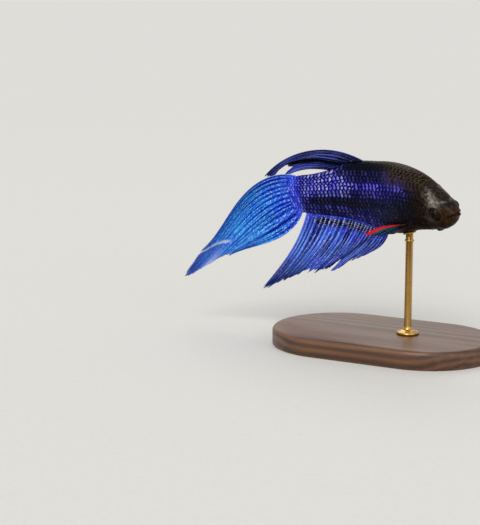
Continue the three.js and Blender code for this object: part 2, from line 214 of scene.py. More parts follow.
# The saddle, and every piece of the fish after it, is made straight and then posed: s is the
# millimetres behind the snout, h the height over the spine line, and w the distance to the fish's
# right. Its lengths and its pose are the frame's own.
STANDARD_LENGTH = 45.0  # from snout to tail base
SNOUT, SNOUT_ROUND = -0.25, 0.12  # where the snout starts, and how soon it is full
HEAD_YAW, TAIL_YAW, TAIL_FIN_YAW = 28.0, -2.0, -14.0  # degrees, as the body bends from head to tail
HEAD_SHARE, TAIL_FIN_SHARE = 0.3, 1.75  # where the bend starts and where it ends
ROLL, PITCH = 13.0, 5.0  # degrees
NOD = 0.007  # how fast the head end bends down
SPINE_HEIGHT = 34.0
SPINE_STEP = 0.25
ROD_SEAT = 0.385 * STANDARD_LENGTH

# Shares of the standard length: from the snout, reach above the spine line, below it, half width.
BODY_ROWS = [
    [0.0, 0.01, 0.014, 0.018],
    [0.02, 0.026, 0.041, 0.034],
    [0.06, 0.05, 0.075, 0.053],
    [0.12, 0.086, 0.112, 0.069],
    [0.2, 0.127, 0.137, 0.081],
    [0.3, 0.15, 0.162, 0.085],
    [0.4, 0.159, 0.193, 0.082],
    [0.5, 0.16, 0.196, 0.074],
    [0.6, 0.163, 0.171, 0.064],
    [0.7, 0.156, 0.141, 0.053],
    [0.8, 0.124, 0.123, 0.041],
    [0.9, 0.104, 0.111, 0.029],
    [1.0, 0.095, 0.099, 0.018],
    [1.04, 0.086, 0.094, 0.012],
    [1.085, 0.078, 0.088, 0.0035],
]


def smooth_rows(rows):
    """A smooth curve through rows of numbers, as a function of their first column."""
    table = np.array(rows, float)
    x, y = table[:, 0], table[:, 1:]
    gap = np.diff(x)[:, None]
    rise = np.diff(y, axis=0) / gap
    inner = (rise[:-1] * gap[1:] + rise[1:] * gap[:-1]) / (gap[:-1] + gap[1:])
    slope = np.vstack([rise[:1], inner, rise[-1:]])

    def at(place):
        place = np.asarray(place, float)
        i = np.clip(np.searchsorted(x, place, side="right") - 1, 0, len(x) - 2)
        width = gap[i]
        u = np.clip((place - x[i])[..., None] / width, 0, 1)
        value = y[i] * (1 + 2 * u) * (1 - u) ** 2 + y[i + 1] * u * u * (3 - 2 * u)
        return value + width * u * (1 - u) * (slope[i] * (1 - u) - slope[i + 1] * u)

    return at


def smoothstep(x, low, high):
    """0 below low, 1 above high, and a smooth rise between."""
    u = np.clip((np.asarray(x, float) - low) / (high - low), 0, 1)
    return u * u * (3 - 2 * u)


def hump(x, middle, width):
    """A smooth bump of height 1 at the middle."""
    return np.exp(-(((x - middle) / width) ** 2))


def yaw_at(s):
    """How far the spine is turned at s, in radians."""
    body = smoothstep(s, HEAD_SHARE * STANDARD_LENGTH, STANDARD_LENGTH)
    fin = smoothstep(s, STANDARD_LENGTH, TAIL_FIN_SHARE * STANDARD_LENGTH)
    return np.radians(HEAD_YAW + (TAIL_YAW - HEAD_YAW) * body + (TAIL_FIN_YAW - TAIL_YAW) * fin)


spine_s = np.arange(-5, 1.9 * STANDARD_LENGTH, SPINE_STEP)
spine_yaw = yaw_at(spine_s[:-1] + SPINE_STEP / 2)
spine_x = np.append(0, np.cumsum(-np.cos(spine_yaw) * SPINE_STEP))
spine_y = np.append(0, np.cumsum(np.sin(spine_yaw) * SPINE_STEP))
spine_x -= np.interp(STANDARD_LENGTH / 2, spine_s, spine_x)
spine_y -= np.interp(STANDARD_LENGTH / 2, spine_s, spine_y)


def pitched(v):
    """Turns directions nose up by the pitch."""
    c, s = math.cos(math.radians(PITCH)), math.sin(math.radians(PITCH))
    return np.stack([c * v[..., 0] - s * v[..., 2], v[..., 1], s * v[..., 0] + c * v[..., 2]], -1)


def posed_loose(s, h, w):
    """Straight coordinates to the posed fish, before it is set on its stand, in millimetres."""
    s, h, w = np.broadcast_arrays(*(np.asarray(a, float) for a in (s, h, w)))
    yaw, lean = yaw_at(s), math.radians(ROLL)
    level = np.stack([-np.sin(yaw), -np.cos(yaw), np.zeros_like(yaw)], -1)
    z = np.array([0, 0, 1.0])
    up = pitched(level * math.sin(lean) + z * math.cos(lean))
    side = pitched(level * math.cos(lean) - z * math.sin(lean))
    flat = np.stack([np.interp(s, spine_s, spine_x), np.interp(s, spine_s, spine_y), 0 * s], -1)
    drop = NOD * np.maximum(0, STANDARD_LENGTH / 2 - s) ** 2
    return pitched(flat) + z * SPINE_HEIGHT + up * (h - drop)[..., None] + side * w[..., None]


body_rows = smooth_rows(BODY_ROWS)


def body_at(s):
    """Reach above and below the spine line and half width at s, with a round tip to the snout."""
    rows = body_rows(np.asarray(s, float) / STANDARD_LENGTH) * STANDARD_LENGTH
    tip = np.sqrt(1 - np.exp(-np.maximum(0, np.asarray(s, float) - SNOUT) / SNOUT_ROUND))
    return rows[..., 0] * tip, rows[..., 1] * tip, rows[..., 2] * tip


rod_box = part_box("stand_rod")
rod_axis = (rod_box[0] + rod_box[1]) / 2
belly = posed_loose(ROD_SEAT, -body_at(ROD_SEAT)[1], 0)
SET_DOWN = np.array([rod_axis.x - belly[0] * MM, rod_axis.y - belly[1] * MM, 0.0])


def posed(s, h, w):
    """Straight coordinates to the place on the stand, in metres."""
    return posed_loose(s, h, w) * MM + SET_DOWN


# The chart of the body: s along it, and q, the distance round it from the middle of the flank,
# upward positive. Past the back or the belly q runs on down the other flank.
CHART_STEP = 0.25
CHART_PARTS = 60  # even parts of each quarter of the way round
chart_s = np.arange(SNOUT, 1.09 * STANDARD_LENGTH, CHART_STEP)
chart_turn = np.linspace(0, math.pi / 2, 2 * CHART_PARTS + 1)
chart_share = np.linspace(0, 1, CHART_PARTS + 1)
chart_above, chart_below, chart_half = body_at(chart_s)


def quarter_table(reach, half):
    """Length of a quarter of each ring, and the turn angle at even shares of that length."""
    h, w = np.outer(reach, np.sin(chart_turn)), np.outer(half, np.cos(chart_turn))
    run = np.cumsum(np.hypot(np.diff(h, axis=1), np.diff(w, axis=1)), axis=1)
    run = np.hstack([np.zeros((len(reach), 1)), run])
    turns = [chart_turn[::2] for _ in run]
    for i, r in enumerate(run):
        if r[-1] > 0:
            turns[i] = np.interp(chart_share * r[-1], r, chart_turn)
    return run[:, -1], np.array(turns)


top_length, top_turns = quarter_table(chart_above, chart_half)
bottom_length, bottom_turns = quarter_table(chart_below, chart_half)


def q_limits(s):
    """q at the middle of the belly and of the back."""
    return -np.interp(s, chart_s, bottom_length), np.interp(s, chart_s, top_length)


def turn_at(s, q):
    """The turn angle round the body at (s, q): 0 on the right flank, a quarter turn on the back."""
    s, q = np.broadcast_arrays(np.asarray(s, float), np.asarray(q, float))
    low, high = q_limits(s)
    over, under = q > high, q < low
    q = np.where(over, 2 * high - q, np.where(under, 2 * low - q, q))
    share = np.clip(np.abs(q) / np.maximum(1e-6, np.where(q > 0, high, -low)), 0, 1)
    i = np.clip((s - chart_s[0]) / CHART_STEP, 0, len(chart_s) - 1.001)
    j = np.clip(share * CHART_PARTS, 0, CHART_PARTS - 0.001)
    i0, j0 = i.astype(int), j.astype(int)
    fi, fj = i - i0, j - j0

    def look_up(table):
        near = table[i0, j0] * (1 - fj) + table[i0, j0 + 1] * fj
        far = table[i0 + 1, j0] * (1 - fj) + table[i0 + 1, j0 + 1] * fj
        return near * (1 - fi) + far * fi

    turn = np.where(q > 0, look_up(top_turns), -look_up(bottom_turns))
    return np.where(over, math.pi - turn, np.where(under, -math.pi - turn, turn))


def q_at(s, turn):
    """q on the right flank for a turn angle from -90 to 90 degrees."""
    above, below, half = body_at(s)
    reach = np.where(turn > 0, above, below)
    steps = np.linspace(0, 1, 25)
    angles = np.asarray(turn)[..., None] * steps
    h = np.sin(angles) * np.asarray(reach)[..., None]
    w = np.cos(angles) * np.asarray(half)[..., None]
    return np.sign(turn) * np.hypot(np.diff(h), np.diff(w)).sum(-1)


def on_body(s, turn, lift):
    """Straight coordinates of a point on the body, raised by lift along the surface's normal."""
    above, below, half = body_at(s)
    small = 0.02
    ahead, behind = body_at(s - small), body_at(s + small)
    top = np.sin(turn) > 0
    reach = np.where(top, above, below)
    rise = np.where(top, behind[0], behind[1]) - np.where(top, ahead[0], ahead[1])
    slope_h = rise / (2 * small)
    slope_w = (behind[2] - ahead[2]) / (2 * small)
    n_h = np.sin(turn) / np.maximum(reach, 0.05)
    n_w = np.cos(turn) / np.maximum(half, 0.05)
    n_s = -(slope_h * np.sin(turn) * n_h + slope_w * np.cos(turn) * n_w)
    lift = lift / np.sqrt(n_s**2 + n_h**2 + n_w**2)
    return s + lift * n_s, reach * np.sin(turn) + lift * n_h, half * np.cos(turn) + lift * n_w


SADDLE = {"half_length": 1.5, "half_width": 1.25, "outer": 0.3, "inner": -0.02}  # off the belly
ROD_RADIUS = 0.8


def brushed_brass():
    # Yellow metal under clear lacquer, faintly cloudy, with lathe lines round the rod that show
    # only as a soft sheen. They are drawn 0.1 mm apart, coarser than real ones, and clouds are
    # 2.5 mm wide.
    metal = finish_of("brushed_lacquered_brass")
    place = add(metal, "TexCoord").outputs["Object"]
    lines = add(metal, "Mapping", place, {"Scale": (0.05, 0.05, 1)})
    brush = add(metal, "TexNoise", {"Vector": lines, "Scale": 9 / MM, "Detail": 2.0})
    cloud = add(metal, "TexNoise", {"Vector": place, "Scale": 0.4 / MM, "Detail": 3.0})
    colour = add(metal, "Mix", cloud, "#a9823f", "#c9a662", data_type="RGBA")
    rough = add(metal, "Math", brush, 0.1, 0.22, operation="MULTIPLY_ADD")
    bump = add(metal, "Bump", {"Height": brush, "Strength": 0.06, "Distance": 0.02 * MM})
    look = {"Base Color": colour, "Metallic": 1.0, "Roughness": rough, "Normal": bump}
    shader = add(metal, "BsdfPrincipled", look)
    add(metal, "OutputMaterial", shader)
    return metal


def turned_rod():
    """Points and faces of the lathed rod: its profile is radius and height over the base."""
    shaft = ROD_RADIUS
    top = (rod_box[1].z - rod_box[0].z) / MM
    profile = [(2.15, 0.0), (2.4, 0.12), (2.4, 0.5), (2.28, 0.62), (1.9, 0.68), (1.75, 0.8)]
    steps = 6
    for step in range(steps + 1):
        turn = math.pi / 2 * step / steps
        profile.append((shaft + 0.75 * (1 - math.sin(turn)), 1.75 - 0.85 * math.cos(turn)))
    profile += [(shaft, 4.0), (shaft, top - 2.2), (0.97, top - 2.05), (1.02, top - 1.9)]
    profile += [(0.97, top - 1.75), (shaft, top - 1.6), (shaft, top - 0.35)]
    count = 40
    points = []
    for radius, height in profile:
        for k in range(count):
            turn = 2 * math.pi * k / count
            x = rod_axis.x + radius * MM * math.cos(turn)
            y = rod_axis.y + radius * MM * math.sin(turn)
            points.append((x, y, rod_box[0].z + height * MM))
    rings = [points[i : i + count] for i in range(0, len(points), count)]
    return points, rings_closed(rings)


def saddle():
    """A thin oval plate that wraps the keel of the belly round the end of the rod."""
    rows, count = 7, 36
    layers = []
    for lift in (SADDLE["inner"], SADDLE["outer"]):
        for ring in range(1, rows + 1):
            size = ring / rows
            turn = np.linspace(0, 2 * math.pi, count, endpoint=False)
            s = ROD_SEAT + SADDLE["half_length"] * size * np.cos(turn)
            q = q_limits(s)[0] + SADDLE["half_width"] * size * np.sin(turn)
            layers.append(posed(*on_body(s, turn_at(s, q), lift)))
    inner, outer = layers[:rows], layers[rows:]
    rings = inner + outer[::-1]
    return np.concatenate(rings), rings_closed(rings)


brass = brushed_brass()
post = new_piece("brass_rod", *turned_rod(), brass, "brass")
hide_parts("stand_rod")
new_piece("brass_cradle", *saddle(), brass, "brass")

# ---------------------------------------------------------------------------------------------
# Skin
# One unbroken skin over head, jaw, gill covers, trunk and tail stem, cast in resin and painted as
# on a museum model. It lies inside the solids by the depth of the scales, and carries the markings.

SCALE_DEPTH = 0.15
BARE_DEPTH = 0.03
SKIN_POINTS = 264  # round the body
EYE = {"radius": 1.45, "s": 0.088 * STANDARD_LENGTH, "h": -0.6, "w": 2.15}
GILL = {"s": 0.228 * STANDARD_LENGTH, "h": -0.9, "half_length": 2.9, "half_height": 4.3}
MOUTH = {"front": (-0.3, 0.1), "corner": (1.9, -1.25)}


def scale_cover(s, q):
    """1 where scales lie, 0 on the bare snout, face and throat."""
    front = 7.2 - 0.35 * np.maximum(0, q - 2) + 0.3 * np.maximum(0, -q - 1)
    return smoothstep(s, front - 0.8, front + 0.8)


# The bright band along the flank, partly the fish's own blue and partly painted highlight where
# the upper flank faced the light: s, its middle q, its half width and its level.
BAND = smooth_rows(
    [
        [6, 3.6, 0.7, 0.0],
        [9, 3.1, 1.1, 0.45],
        [13, 2.7, 1.5, 0.48],
        [18, 2.1, 1.5, 0.8],
        [22, 1.9, 1.4, 1.0],
        [27, 1.9, 1.4, 0.85],
        [31, 2.2, 1.9, 0.85],
        [36, 2.4, 2.6, 1.05],
        [41, 1.7, 2.6, 1.0],
        [46, 0.8, 3.4, 0.95],
        [49, 0.0, 4.5, 1.0],
    ]
)


def markings(s, q):
    """Shares of the colours at (s, q): blue and lavender sheen, brown, black, nape, pale brow.

    Blue lies in the band, on shoulder and back, in two faint rows under the band, over the anal
    fin and on the tail stem. The band is partly painted highlight, and the black under it partly
    painted shade. The brow's pale mark is a painted sheen, in three strokes: main, fore and rear.
    """
    middle, width, level = np.moveaxis(BAND(s), -1, 0)
    upper = np.where(q > middle, 1.0, 0.8)
    band = level * np.exp(-(np.abs((q - middle) / (width * upper)) ** 3))
    shoulder = 0.12 * smoothstep(s, 9, 15) * smoothstep(q, 2.5, 4.0) * (1 - smoothstep(q, 5.0, 6.6))
    back = 0.45 * smoothstep(s, 30, 39) * smoothstep(q, 2.0, 4.0)
    low = (0.13 + 0.2 * smoothstep(s, 30, 36)) * smoothstep(s, 14, 20) * hump(q, -3.4, 1.3)
    mid = 0.12 * smoothstep(s, 10, 15) * hump(q, -1.2, 0.9) * (1 - smoothstep(s, 26, 31))
    anal_edge = 0.6 * smoothstep(s, 19, 27) * smoothstep(-q, 4.2, 5.4)
    tail = 0.9 * smoothstep(s, 43.5, 46)
    blue = np.clip(np.maximum.reduce([band, shoulder, back, low, mid, anal_edge, tail]), 0, 1.1)
    lavender = smoothstep(s, 27, 35) * (1 - 0.75 * smoothstep(s, 42, 46)) * smoothstep(q, -1.5, 1.0)
    brown = 0.75 * smoothstep(q, 3.6, 5.4) * (1 - smoothstep(s, 14, 19))
    brown = (1 - smoothstep(s, 8, 11.5)) + brown
    brown = np.clip(np.maximum(brown, smoothstep(-q, 3, 6) * (1 - smoothstep(s, 15, 20))), 0, 1)
    # A black band low on the flank, partly a marking and partly painted shade where the flank turns
    # away from the light above.
    black = smoothstep(s, 18, 26) * (1 - smoothstep(s, 40, 44))
    black = black * np.exp(-(np.abs((q + 0.9) / 1.5) ** 3))
    nape = smoothstep(q, 2.0, 5.0) * smoothstep(s, 5.5, 8.5) * (1 - smoothstep(s, 13.5, 21))
    # The brow's pale mark: a painted sheen over and behind the eye.
    climb = smoothstep(q, 1.0, 5.4)
    main = hump(s, 4.0 + 2.3 * climb, 1.1 - 0.55 * climb) * (1 - 0.5 * climb)
    main = main * smoothstep(q, 0.3, 1.1) * (1 - smoothstep(q, 4.2, 6.0))
    fore = 0.7 * hump(q, 2.0 + 0.5 * (3.2 - s), 0.32)
    fore = fore * smoothstep(s, 1.6, 2.6) * (1 - smoothstep(s, 3.4, 4.2))
    rear = 0.5 * hump(q, 2.9 + 0.25 * (s - 5), 0.35)
    rear = rear * smoothstep(s, 4.4, 5.2) * (1 - smoothstep(s, 6.2, 7.6))
    brow = np.clip(np.maximum.reduce([main, fore, rear]), 0, 1)
    return blue, lavender, brown, black, nape, brow


def skin_paint(mesh, s, q, extra):
    """Keeps the markings and extra marks at each point of a mesh, as its material reads them."""
    values = dict(zip(("blue", "lavender", "brown", "black", "nape", "brow"), markings(s, q)))
    for name, value in {**values, **extra}.items():
        layer = mesh.attributes.new(name, "FLOAT", "POINT")
        layer.data.foreach_set("value", np.asarray(value, np.float32).ravel())


def from_mouth_line(s, h):
    """Distance above the mouth line, and how far along it from front 0 to corner 1."""
    front, corner = np.array(MOUTH["front"]), np.array(MOUTH["corner"])
    run = corner - front
    size = np.hypot(*run)
    along = ((s - front[0]) * run[0] + (h - front[1]) * run[1]) / size**2
    above = ((s - front[0]) * -run[1] + (h - front[1]) * run[0]) / size
    return above, along


def face_relief(s, h, w):
    """How far the bare face stands off the plain body, and the marks that its paint needs, the
    painted shade in its creases among them.
    """
    side = np.abs(w)
    # The mouth: a slit between two lips.
    above, along = from_mouth_line(s, h)
    near_mouth = (1 - smoothstep(along, 0.82, 1.02)) * smoothstep(along, -0.5, -0.1)
    slit = hump(above, 0, 0.1) * near_mouth
    lips = (hump(above, 0.3, 0.22) + 1.15 * hump(above, -0.32, 0.25)) * near_mouth
    lips = lips * (1 - smoothstep(along, 0.55, 1.0))
    lift = 0.12 * lips - 0.24 * slit
    # The eye: a pit for the ball, a raised rim and the fold of skin round it.
    outward = side > 0.8
    round_eye = np.hypot(s - EYE["s"], h - EYE["h"])
    rim = np.where(outward, hump(round_eye, 1.5, 0.24), 0)
    fold = np.where(outward, hump(round_eye, 1.95, 0.13), 0)
    pit = np.where(outward, 1 - smoothstep(round_eye, 1.0, 1.3), 0)
    lift = lift + 0.17 * rim - 0.05 * fold - 0.6 * pit
    # The gill cover: it stands over the shoulder, with a soft flap along its rear edge.
    offset = np.hypot((s - GILL["s"]) / GILL["half_length"], (h - GILL["h"]) / GILL["half_height"])
    edge = (offset - 1) * 3.2
    rear = smoothstep(s, 8.6, 10.6)
    cover = np.where(outward, smoothstep(-edge, -0.02, 0.3) * rear, 0)
    flap = np.where(outward, hump(edge, 0.14, 0.12) * rear, 0)
    # The line of the cheek, the brow over the eye, and the nostril in its rim.
    cheek_line = hump(s - 0.06 * (h + 1) ** 2, 7.3, 0.16) * (side > 1.0) * (np.abs(h + 0.8) < 3.6)
    brow = hump(s, 5.2, 2.2) * hump(h, 2.3, 1.0) * (side > 0.5)
    nostril = hump(np.hypot(s - 2.05, (h - 1.0) * 0.9), 0, 0.17) * (side > 0.4)
    nostril_rim = hump(np.hypot(s - 2.05, (h - 1.0) * 0.9), 0.3, 0.12) * (side > 0.4)
    lift = lift + 0.13 * cover - 0.14 * flap - 0.05 * cheek_line + 0.05 * brow
    lift = lift - 0.2 * nostril + 0.05 * nostril_rim
    # The chin's lumps and the gill skin that folds out under the throat.
    chin = hump(s, 3.2, 2.2) * smoothstep(-h, 0.9, 2.3)
    lumps = hump(s, 1.2, 0.5) + hump(s, 2.5, 0.5) + hump(s, 4.2, 0.6)
    membrane = hump(s, 6.2, 0.4) * (side < 0.9) * (h < 0)
    lift = lift + chin * (0.26 + 0.08 * lumps) + 0.3 * membrane
    # Painted shade in the creases: the mouth slit, the gill flap, the nostril, the cheek line and
    # the fold round the eye.
    shade = np.clip(slit + 0.8 * flap + nostril + 0.5 * cheek_line + 0.35 * fold, 0, 1)
    return lift, {"crease": shade, "rim": np.clip(rim, 0, 1)}


def wet_skin():
    # Cast resin painted as fish skin, under a thin varnish that looks wet: nearly black, with a
    # soft gloss, a painted sheen on the brow and painted shade in the creases. It is mottled in
    # blotches of 0.5 mm, clouds of 2.6 mm and pale dots 0.4 mm apart.
    skin = finish_of("painted_fish_skin_wet")
    place = add(skin, "TexCoord").outputs["Object"]
    names = ("blue", "brown", "nape", "crease", "rim", "brow", "patch", "muzzle")
    read = {n: add(skin, "Attribute", attribute_name=n).outputs["Fac"] for n in names}
    mottle = add(skin, "TexNoise", {"Vector": place, "Scale": 2 / MM, "Detail": 4.0})
    cloud = add(skin, "TexNoise", {"Vector": place, "Scale": 0.38 / MM, "Detail": 3.0})
    grains = add(skin, "TexVoronoi", {"Vector": place, "Scale": 2.6 / MM})
    navy = add(skin, "Mix", read["blue"], "#05050e", "#15166a", data_type="RGBA")
    steps = [(0.38, "#050403"), (0.52, "#140e0a"), (0.64, "#33271c")]
    head = add(skin, "ValToRGB", mottle, steps=steps)
    weight = add(skin, "Math", read["nape"], 0.8, operation="MULTIPLY")
    head = add(skin, "Mix", weight, head, "#211913", data_type="RGBA")
    body = add(skin, "Mix", read["brown"], navy, head, data_type="RGBA")
    muzzle = add(skin, "Mix", cloud, "#140900", "#42280d", data_type="RGBA")
    peppered = add(skin, "MapRange", mottle, 0.5, 0.36, 0.0, 0.6)
    muzzle = add(skin, "Mix", peppered, muzzle, "#0c0500", data_type="RGBA")
    weight = add(skin, "Math", read["muzzle"], 0.85, operation="MULTIPLY")
    body = add(skin, "Mix", weight, body, muzzle, data_type="RGBA")
    # The brow's painted sheen, streaked by the mottle.
    term = add(skin, "Math", mottle, 2.3, -0.64, operation="MULTIPLY_ADD")
    pale = add(skin, "Math", read["brow"], term, operation="MULTIPLY")
    body = add(skin, "Mix", add(skin, "Clamp", pale), body, "#978c80", data_type="RGBA")
    weight = add(skin, "Math", read["patch"], 0.8, operation="MULTIPLY")
    body = add(skin, "Mix", weight, body, "#3d4133", data_type="RGBA")
    weight = add(skin, "Math", read["rim"], 0.4, operation="MULTIPLY")
    body = add(skin, "Mix", weight, body, "#3c1b0e", data_type="RGBA")
    # Painted shade in the creases of the face.
    weight = add(skin, "Math", read["crease"], 0.8, operation="MULTIPLY")
    body = add(skin, "Mix", weight, body, "#070506", data_type="RGBA")
    fleck = add(skin, "MapRange", grains, 0.0, 0.5, 0.1, 0.0)
    dot = add(skin, "MapRange", grains, 0.22, 0.1)
    rare = add(skin, "MapRange", grains.outputs[1], 0.55, 0.75)
    term = add(skin, "Math", dot, rare, operation="MULTIPLY")
    other = add(skin, "Math", read["brown"], 0.45, operation="MULTIPLY")
    pale_dot = add(skin, "Math", term, other, operation="MULTIPLY")
    body = add(skin, "Mix", pale_dot, body, "#6d6152", data_type="RGBA")
    term = add(skin, "Math", cloud, fleck, operation="ADD")
    height = add(skin, "Math", mottle, 0.6, term, operation="MULTIPLY_ADD")
    bump = add(skin, "Bump", {"Height": height, "Strength": 0.35, "Distance": 0.08 * MM})
    rough = add(skin, "Math", mottle, 0.25, 0.3, operation="MULTIPLY_ADD")
    shader = add(
        skin,
        "BsdfPrincipled",
        {
            "Base Color": body,
            "Roughness": rough,
            "Normal": bump,
            "Specular IOR Level": 0.06,
            "Coat Weight": 0.05,
            "Coat Roughness": 0.1,
        },
    )
    add(skin, "OutputMaterial", shader)
    return skin


def make_skin():
    """The skin as rings of points, closest together over the face."""
    stations = np.concatenate(
        [
            SNOUT * (1 - np.linspace(0.02, 1, 7) ** 2),
            np.arange(0.05, 3.4, 0.075),
            np.arange(3.4, 14.2, 0.1),
            np.arange(14.2, 46.9, 0.3),
        ]
    )
    turn = np.linspace(-math.pi, math.pi, SKIN_POINTS, endpoint=False) + math.pi / SKIN_POINTS
    s, turns = np.meshgrid(stations, turn, indexing="ij")
    above, below, half = body_at(s)
    h = np.where(np.sin(turns) > 0, above, below) * np.sin(turns)
    w = half * np.cos(turns)
    folded = np.where(np.cos(turns) >= 0, turns, np.sign(turns) * math.pi - turns)
    q = q_at(s, folded)
    relief, marks = face_relief(s, h, w)
    cover = scale_cover(s, q)
    inset = BARE_DEPTH + (SCALE_DEPTH - BARE_DEPTH) * cover
    inset = inset * smoothstep(s, -0.2, 0.6)
    rings = list(posed(*on_body(s, turns, relief * (1 - 0.4 * cover) - inset)))
    # An olive patch lies behind and below the eye, and the muzzle is browner than the head.
    marks["patch"] = hump(np.hypot(s - 5.3, (h + 2.1) / 0.65), 0, 1) * (np.abs(w) > 0.8)
    marks["muzzle"] = (1 - smoothstep(s, 1.8, 3.6)) * (1 - smoothstep(h, 0.4, 1.6))
    piece = new_piece("skin", np.concatenate(rings), rings_closed(rings), wet_skin(), "head_skin")
    skin_paint(piece.data, s.ravel(), q.ravel(), marks)
    return piece


skin = make_skin()
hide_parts("head", "lower_jaw", "gill_cover_left", "gill_cover_right", "trunk", "tail_stem")

# ---------------------------------------------------------------------------------------------
# Eyes
# Each eye is a glass ball set in its socket: painted behind, with a black pupil, a dark iris that
# has a thin bronze ring, and a slightly domed clear front.

PUPIL = 0.42  # radians from the middle of the gaze
IRIS = 0.98
EYE_GAP = 0.03  # between the ball and its socket


def glass_eye():
    # Glass painted on its back: nearly black, hard and very glossy, with fine streaks that run out
    # from the pupil over the iris.
    glass = finish_of("painted_glass_eye")
    gaze = add(glass, "Attribute", attribute_name="gaze").outputs["Fac"]
    spoke = add(glass, "Attribute", attribute_name="spoke").outputs["Vector"]
    streaks = add(glass, "TexNoise", {"Vector": spoke, "Scale": 9.0, "Detail": 3.0})
    iris = add(glass, "Mix", streaks, "#060403", "#1a120b", data_type="RGBA")
    steps = [
        (0.0, "#010101"),
        (PUPIL / 2, "#010101"),
        (PUPIL / 2 + 0.025, "#34200f"),
        (PUPIL / 2 + 0.07, "#0e0905"),
    ]
    ring = add(glass, "ValToRGB", add(glass, "Math", gaze, 0.5, operation="MULTIPLY"), steps=steps)
    outside = add(glass, "MapRange", gaze, PUPIL + 0.08, PUPIL + 0.2)
    colour = add(glass, "Mix", outside, ring, iris, data_type="RGBA")
    lid = add(glass, "MapRange", gaze, IRIS - 0.12, IRIS + 0.08)
    colour = add(glass, "Mix", lid, colour, "#160c07", data_type="RGBA")
    shader = add(
        glass,
        "BsdfPrincipled",
        {
            "Base Color": colour,
            "Roughness": 0.12,
            "Specular IOR Level": 0.03,
            "Coat Weight": 0.1,
            "Coat Roughness": 0.03,
        },
    )
    add(glass, "OutputMaterial", shader)
    return glass


def eye_ball(side):
    """A ball about its gaze, domed at the front; rings run from the front pole to the back."""
    centre = posed(EYE["s"], EYE["h"], side * EYE["w"])
    gaze = posed(EYE["s"] - 0.25, EYE["h"] + 0.1, side * (EYE["w"] + 1)) - centre
    gaze = gaze / np.linalg.norm(gaze)
    across = np.cross([0, 0, 1.0], gaze)
    across = across / np.linalg.norm(across)
    upright = np.cross(gaze, across)
    polar = np.concatenate([np.linspace(0.02, 1.1, 22), np.linspace(1.2, math.pi - 0.02, 16)])
    turn = np.linspace(0, 2 * math.pi, 56, endpoint=False)
    a, t = np.meshgrid(polar, turn, indexing="ij")
    radius = (EYE["radius"] - EYE_GAP) * (1 + 0.045 * np.exp(-((a / 0.62) ** 4))) * MM
    out = np.cos(a)[..., None] * gaze + (np.sin(a) * np.cos(t))[..., None] * across
    out = out + (np.sin(a) * np.sin(t))[..., None] * upright
    points = centre + out * radius[..., None]
    name = "eye_ball_right" if side > 0 else "eye_ball_left"
    ball = new_piece(name, points.reshape(-1, 3), rings_closed(list(points)), glass_paint, "eye")
    ball.data.attributes.new("gaze", "FLOAT", "POINT").data.foreach_set("value", a.ravel())
    spokes = np.stack([np.cos(t), np.sin(t), a * 0.3], -1)
    spoke_layer = ball.data.attributes.new("spoke", "FLOAT_VECTOR", "POINT")
    spoke_layer.data.foreach_set("vector", spokes.ravel())
    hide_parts("eye_right" if side > 0 else "eye_left")


glass_paint = glass_eye()
for side in (1, -1):
    eye_ball(side)

# ---------------------------------------------------------------------------------------------
# Scales
# Thin overlapping plates of clear horn, one row behind another like roof tiles, each rooted in the
# skin under the scales ahead. They are laid out flat on the body's chart, then wrapped round it.

# Where the rows lie on the chart (q), and where along it scales start and end (s).
ROWS_OF_SCALES = [9.3, 8.0, 6.7, 5.4, 4.1, 2.5, 0.9, -1.1, -3.0, -4.8, -6.3, -7.7, -9.0]
FIRST_SCALE, LAST_SCALE = 4.6, 48.5
# How the rows drift up and close in along the body: s, drift and squeeze.
ROW_DRIFT = smooth_rows(
    [
        [5, 1.1, 0.84],
        [12, 0.8, 0.9],
        [22, 0, 1],
        [33, -0.15, 0.99],
        [42, -0.25, 0.77],
        [49, -0.1, 0.68],
    ]
)
# How far apart scales are in a row: s and pitch.
SCALE_PITCH = smooth_rows(
    [
        [4, 0.75],
        [10, 0.95],
        [14, 1.15],
        [18, 1.28],
        [23, 1.28],
        [32, 1.14],
        [38, 1.05],
        [42, 0.88],
        [45, 0.68],
        [48, 0.5],
    ],
)
SCALE_LENGTH = 2.05  # of the pitch: half of each scale is under others
SCALE_THICKNESS = 0.32  # of the height of its free edge
UNEVENNESS = 0.06
PATCH = 0.003  # each scale's share of the bake map
MAP_LENGTH, MAP_HEIGHT = 104, 24  # millimetres of flanks, end to end, that the bake map spans
# Where scales end on the tail: q and s.
TAIL_EDGE = smooth_rows([[-5, 45.6], [-2.4, 46.6], [-0.4, 47.2], [2, 47.2], [4.2, 46.6], [6, 46.0]])


